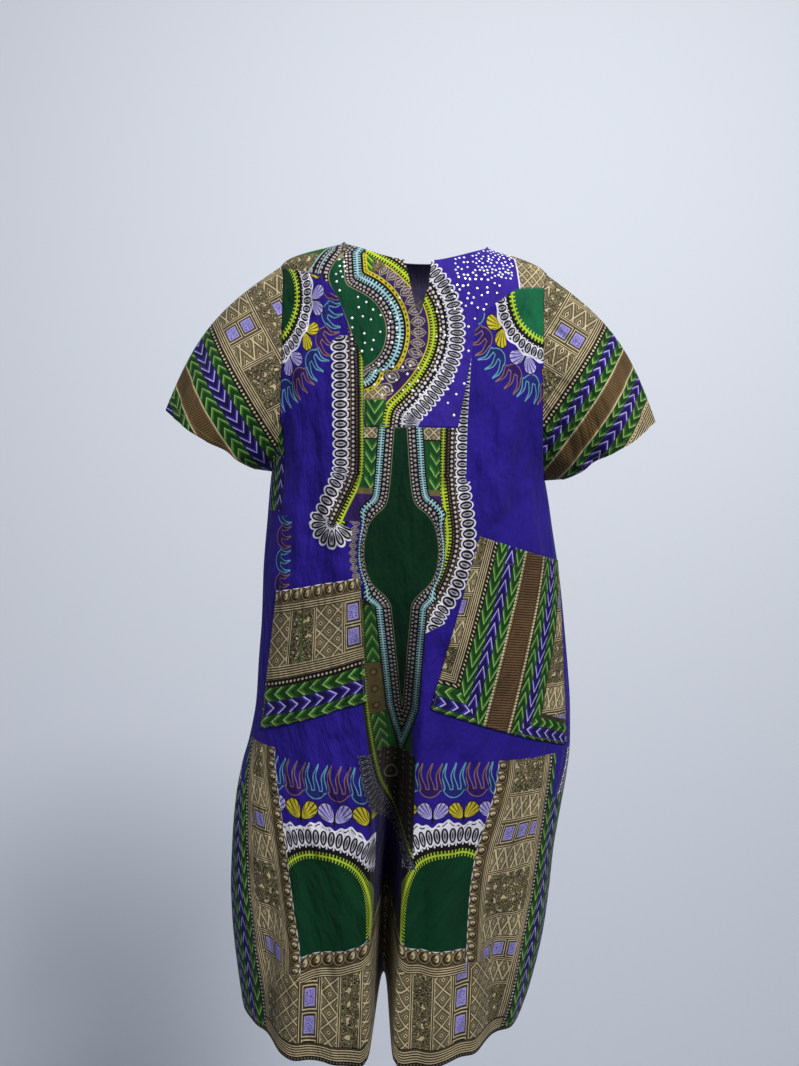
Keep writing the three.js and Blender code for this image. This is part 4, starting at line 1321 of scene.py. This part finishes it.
def turn_at(face, p, z):
    """Where on the section the cloth coordinate p lies."""
    z = np.asarray(z, float)
    p = np.asarray(p, float)
    return np.array([
        np.interp(pi, lookup(CLOTH[face][1], GRID_TURN, np.full_like(GRID_TURN, zi)), GRID_TURN)
        for pi, zi in zip(p, z)])


def stand_on(face, turn, z):
    """Points of the panel with their normals, outwards."""
    here = surface(face, turn, z)
    across = surface(face, turn + 1e-3, z) - here
    down = surface(face, turn, z - 0.2) - here
    n = np.cross(across, down)
    n /= np.linalg.norm(n, axis=-1, keepdims=True)
    n *= np.sign(n[..., 1:2] * face)
    return here, n


def joined_mesh(name, verts, faces, mat):
    mesh = bpy.data.meshes.new(name)
    mesh.from_pydata((np.concatenate(verts) / 1000).tolist(), [], faces)
    mesh.materials.append(mat)
    uv = mesh.uv_layers.new(name="OFBake")
    size = max(1, math.ceil(math.sqrt(len(mesh.polygons))))
    corners = []
    for i, poly in enumerate(mesh.polygons):
        col, row = i % size, i // size
        for k in range(poly.loop_total):
            turn = 2 * math.pi * k / poly.loop_total
            corners += [(col + 0.5 + 0.4 * math.cos(turn)) / size,
                        (row + 0.5 + 0.4 * math.sin(turn)) / size]
    uv.data.foreach_set("uv", corners)
    obj = bpy.data.objects.new(name, mesh)
    bpy.context.scene.collection.objects.link(obj)
    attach(obj, "root")
    return obj


def stitches(name, lines, mat, pitch=3.6, long=2.5, thick=0.32):
    """Short raised stitches along lines of points with normals."""
    verts, faces = [], []
    for pts, nrm in lines:
        run = np.concatenate(([0], np.cumsum(np.linalg.norm(np.diff(pts, axis=0), axis=1))))
        for at in np.arange(pitch / 2, run[-1] - pitch / 2, pitch):
            ends = np.array([[np.interp(at + e, run, pts[:, c]) for c in range(3)]
                             for e in (-long / 2, 0, long / 2)])
            n = np.array([np.interp(at, run, nrm[:, c]) for c in range(3)])
            n /= np.linalg.norm(n)
            way = ends[2] - ends[0]
            side = np.cross(way, n)
            side /= np.linalg.norm(side)
            base = sum(len(v) for v in verts)
            ring = []
            for point, lift, r in zip(ends, (0.05, 0.42, 0.05), (0.6, 1.0, 0.6)):
                for s, h in ((-1, -0.2), (-0.5, 0.8), (0.5, 0.8), (1, -0.2)):
                    ring.append(point + side * s * thick * r + n * (lift + h * thick * r))
            verts.append(np.array(ring))
            for k in range(2):
                o = base + 4 * k
                faces += [(o + j, o + j + 1, o + j + 5, o + j + 4) for j in range(3)]
                faces.append((o + 3, o, o + 4, o + 7))
            faces += [(base + 3, base + 2, base + 1, base), (base + 8, base + 9, base + 10, base + 11)]
    return joined_mesh(name, verts, faces, mat)


def edge_of_panel(panel, outward, row=None, col=None, loop=False):
    """A line of points with normals along a row or a column of a panel's grid."""
    pts = panel[0]
    n = normals(pts, outward, loop)
    if row is not None:
        line, nrm = pts[row], n[row]
        if loop:
            line, nrm = np.concatenate((line, line[:1])), np.concatenate((nrm, nrm[:1]))
        return line, nrm
    return pts[:, col], n[:, col]


thread_blue = plain("thread_blue", (0.05, 0.035, 0.24), 0.7, speck=0.4)
thread_khaki = plain("thread_khaki", (0.26, 0.22, 0.12), 0.7, speck=0.4)
yoke_stitch = stitches("stitching_yoke", [edge_of_panel(yoke_grid, FACING[-1], row=-2)],
                       thread_blue, 3.4, 2.4, 0.26)
hem_front, hem_back = [
    stitches("stitching_hem_" + name, [edge_of_panel(grid, FACING[face], row=-3)],
             thread_khaki)
    for name, grid, face in (("front", front_grid, -1), ("back", back_grid, 1))]
sleeve_stitches, pocket_stitches = {}, {}
for n in SLEEVES:
    grid = sleeve_panel(n)
    away = grid[0] - grid[0].mean(1, keepdims=True)
    sleeve_stitches[n] = stitches("stitching_" + n, [edge_of_panel(grid, away, row=-4, loop=True)],
                                  thread_khaki)
for n in POCKETS:
    grid = pocket_panel(n)
    lines = [edge_of_panel(grid, FACING[-1], **at)
             for at in ({"row": 7}, {"row": -2}, {"col": 1}, {"col": -2})]
    pocket_stitches[n] = stitches("stitching_" + n, lines, thread_khaki, 3.4, 2.4, 0.28)

STONE = 1.75
STONE_ZONES = [  # x, z of the lower left and the upper right, how many, least spacing
    (108, -62, 148, -4, 62, 4.2), (62, -66, 110, -3, 58, 5.0), (36, -34, 70, -6, 14, 6.5),
    (58, -112, 130, -60, 30, 6.5), (82, -168, 98, -118, 6, 12.0), (56, -262, 84, -196, 7, 13.0),
    (-80, -176, -38, -96, 18, 12.0), (-104, -92, -90, -34, 12, 6.5), (-30, -160, -12, -96, 12, 9.0),
    (-46, -232, 20, -188, 20, 10.0), (38, -196, 52, -86, 14, 9.0)]


def stones(name, seed):
    """Round cut stones with a flat table, scattered a little unevenly over the yoke."""
    draw = random.Random(seed)
    places = []
    for x0, z0, x1, z1, count, least in STONE_ZONES:
        found, tries = [], 0
        while len(found) < count and tries < 4000:
            tries += 1
            p = (draw.uniform(x0, x1), draw.uniform(z0, z1))
            if all(math.hypot(p[0] - q[0], p[1] - q[1]) > least for q in found + places):
                found.append(p)
        places += found
    p, z = np.array(places).T
    on_yoke = stone_fits(p, z)
    p, z = p[on_yoke], z[on_yoke]
    here, n = stand_on(-1, turn_at(-1, p, z), z)
    verts, faces = [], []
    sides = 8
    for centre, up in zip(here, n):
        u = np.cross(up, [0, 0, 1.0])
        u /= np.linalg.norm(u)
        v = np.cross(up, u)
        size = STONE * draw.uniform(0.88, 1.1)
        base = sum(map(len, verts))
        ring = [centre + size * r * (u * math.cos(k) + v * math.sin(k)) + up * h
                for r, h in ((0.9, 0.0), (1.0, 0.35), (0.55, 1.0))
                for k in (2 * math.pi * i / sides + (0.39 if h > 0.9 else 0) for i in range(sides))]
        verts.append(np.array(ring))
        for k in range(2):
            for i in range(sides):
                j = (i + 1) % sides
                faces.append((base + k * sides + i, base + k * sides + j,
                              base + (k + 1) * sides + j, base + (k + 1) * sides + i))
        faces.append(tuple(base + 2 * sides + i for i in range(sides)))
        faces.append(tuple(base + i for i in reversed(range(sides))))
    glass = plain("rhinestone", (0.93, 0.94, 0.98), 0.16, 0.25, 0.10)
    return joined_mesh(name, verts, faces, glass)


def stone_fits(p, z):
    """Whether a place lies on the yoke, inside its edge and clear of the neck and the slit."""
    low = np.interp(p, YOKE_EDGE[:, 0], YOKE_EDGE[:, 1])
    neck = neck_z(-1, np.clip(p, NECK_X - NECK_HALF + 1, NECK_X + NECK_HALF - 1))
    slit = np.interp(p, [-12, -8, 1, 9, 13, 17, 26, 29, 33],
                     [0, -44, -82, -114, -124, -116, -81, -46, 0])
    return (z > low + 5) & (z < np.minimum(neck, -2) - 4) & (z < slit - 4)


rhinestones = stones("rhinestones", 11)


# ---------------------------------------------------------------- stage, light, camera
def paint_of(name, colour):
    mat = bpy.data.materials.new(name)
    mat.use_nodes = True
    mat.node_tree.nodes["Principled BSDF"].inputs["Base Color"].default_value = (*colour, 1)
    mat.node_tree.nodes["Principled BSDF"].inputs["Roughness"].default_value = 0.9
    return mat


def stage_plane(name, corners, colour):
    mesh = bpy.data.meshes.new(name)
    mesh.from_pydata(corners, [], [tuple(range(len(corners)))])
    obj = bpy.data.objects.new(name, mesh)
    mesh.materials.append(paint_of(name + "_paint", colour))
    bpy.context.scene.collection.objects.link(obj)


REACH, WALL_Y, FLOOR_Z = 4, 2, -2.8
stage_plane("floor", [(-REACH, -REACH, FLOOR_Z), (REACH, -REACH, FLOOR_Z), (REACH, WALL_Y, FLOOR_Z),
                      (-REACH, WALL_Y, FLOOR_Z)], (0.62, 0.64, 0.68))
stage_plane("backdrop", [(-REACH, WALL_Y, FLOOR_Z), (REACH, WALL_Y, FLOOR_Z), (REACH, WALL_Y, -FLOOR_Z),
                         (-REACH, WALL_Y, -FLOOR_Z)], (0.74, 0.775, 0.84))


def area_light(name, place, aim, size, power, colour=(1, 1, 1)):
    data = bpy.data.lights.new(name, "AREA")
    data.shape, data.size, data.energy, data.color = "DISK", size, power, colour
    obj = bpy.data.objects.new(name, data)
    obj.location = place
    obj.rotation_euler = (Vector(aim) - Vector(place)).to_track_quat("-Z", "Y").to_euler()
    bpy.context.scene.collection.objects.link(obj)


area_light("key", (1.2, -2.2, 1.95), (0.05, 0.1, -0.3), 0.9, 144, (1.0, 0.99, 0.97))
area_light("fill", (-1.9, -2.0, 0.5), (0, 0, -0.6), 1.8, 13)
area_light("top", (0, -0.3, 1.7), (0, 0.1, -0.5), 1.2, 11)
world = bpy.data.worlds.new("studio")
world.use_nodes = True
world.node_tree.nodes["Background"].inputs["Color"].default_value = (0.8, 0.85, 0.95, 1)
world.node_tree.nodes["Background"].inputs["Strength"].default_value = 0.29
bpy.context.scene.world = world

bpy.context.scene.view_settings.view_transform = "Standard"

EYE, PITCH, ROLL, FOCAL_PX = (-0.00287, -1.35, -0.34305), math.radians(-3.5), math.radians(1.9), 900
gaze = Vector((0, math.cos(PITCH), math.sin(PITCH)))
level = Vector((1, 0, 0))
right = level * math.cos(ROLL) + level.cross(gaze) * math.sin(ROLL)
up = right.cross(gaze)
camera = bpy.data.cameras.new("camera")
camera.sensor_width = camera.sensor_height = 36
camera.sensor_fit = "AUTO"
camera.lens = FOCAL_PX / 1066 * 36
view = bpy.data.objects.new("camera", camera)
view.matrix_world = Matrix((right, up, -gaze)).transposed().to_4x4()
view.location = EYE
bpy.context.scene.collection.objects.link(view)
bpy.context.scene.camera = view
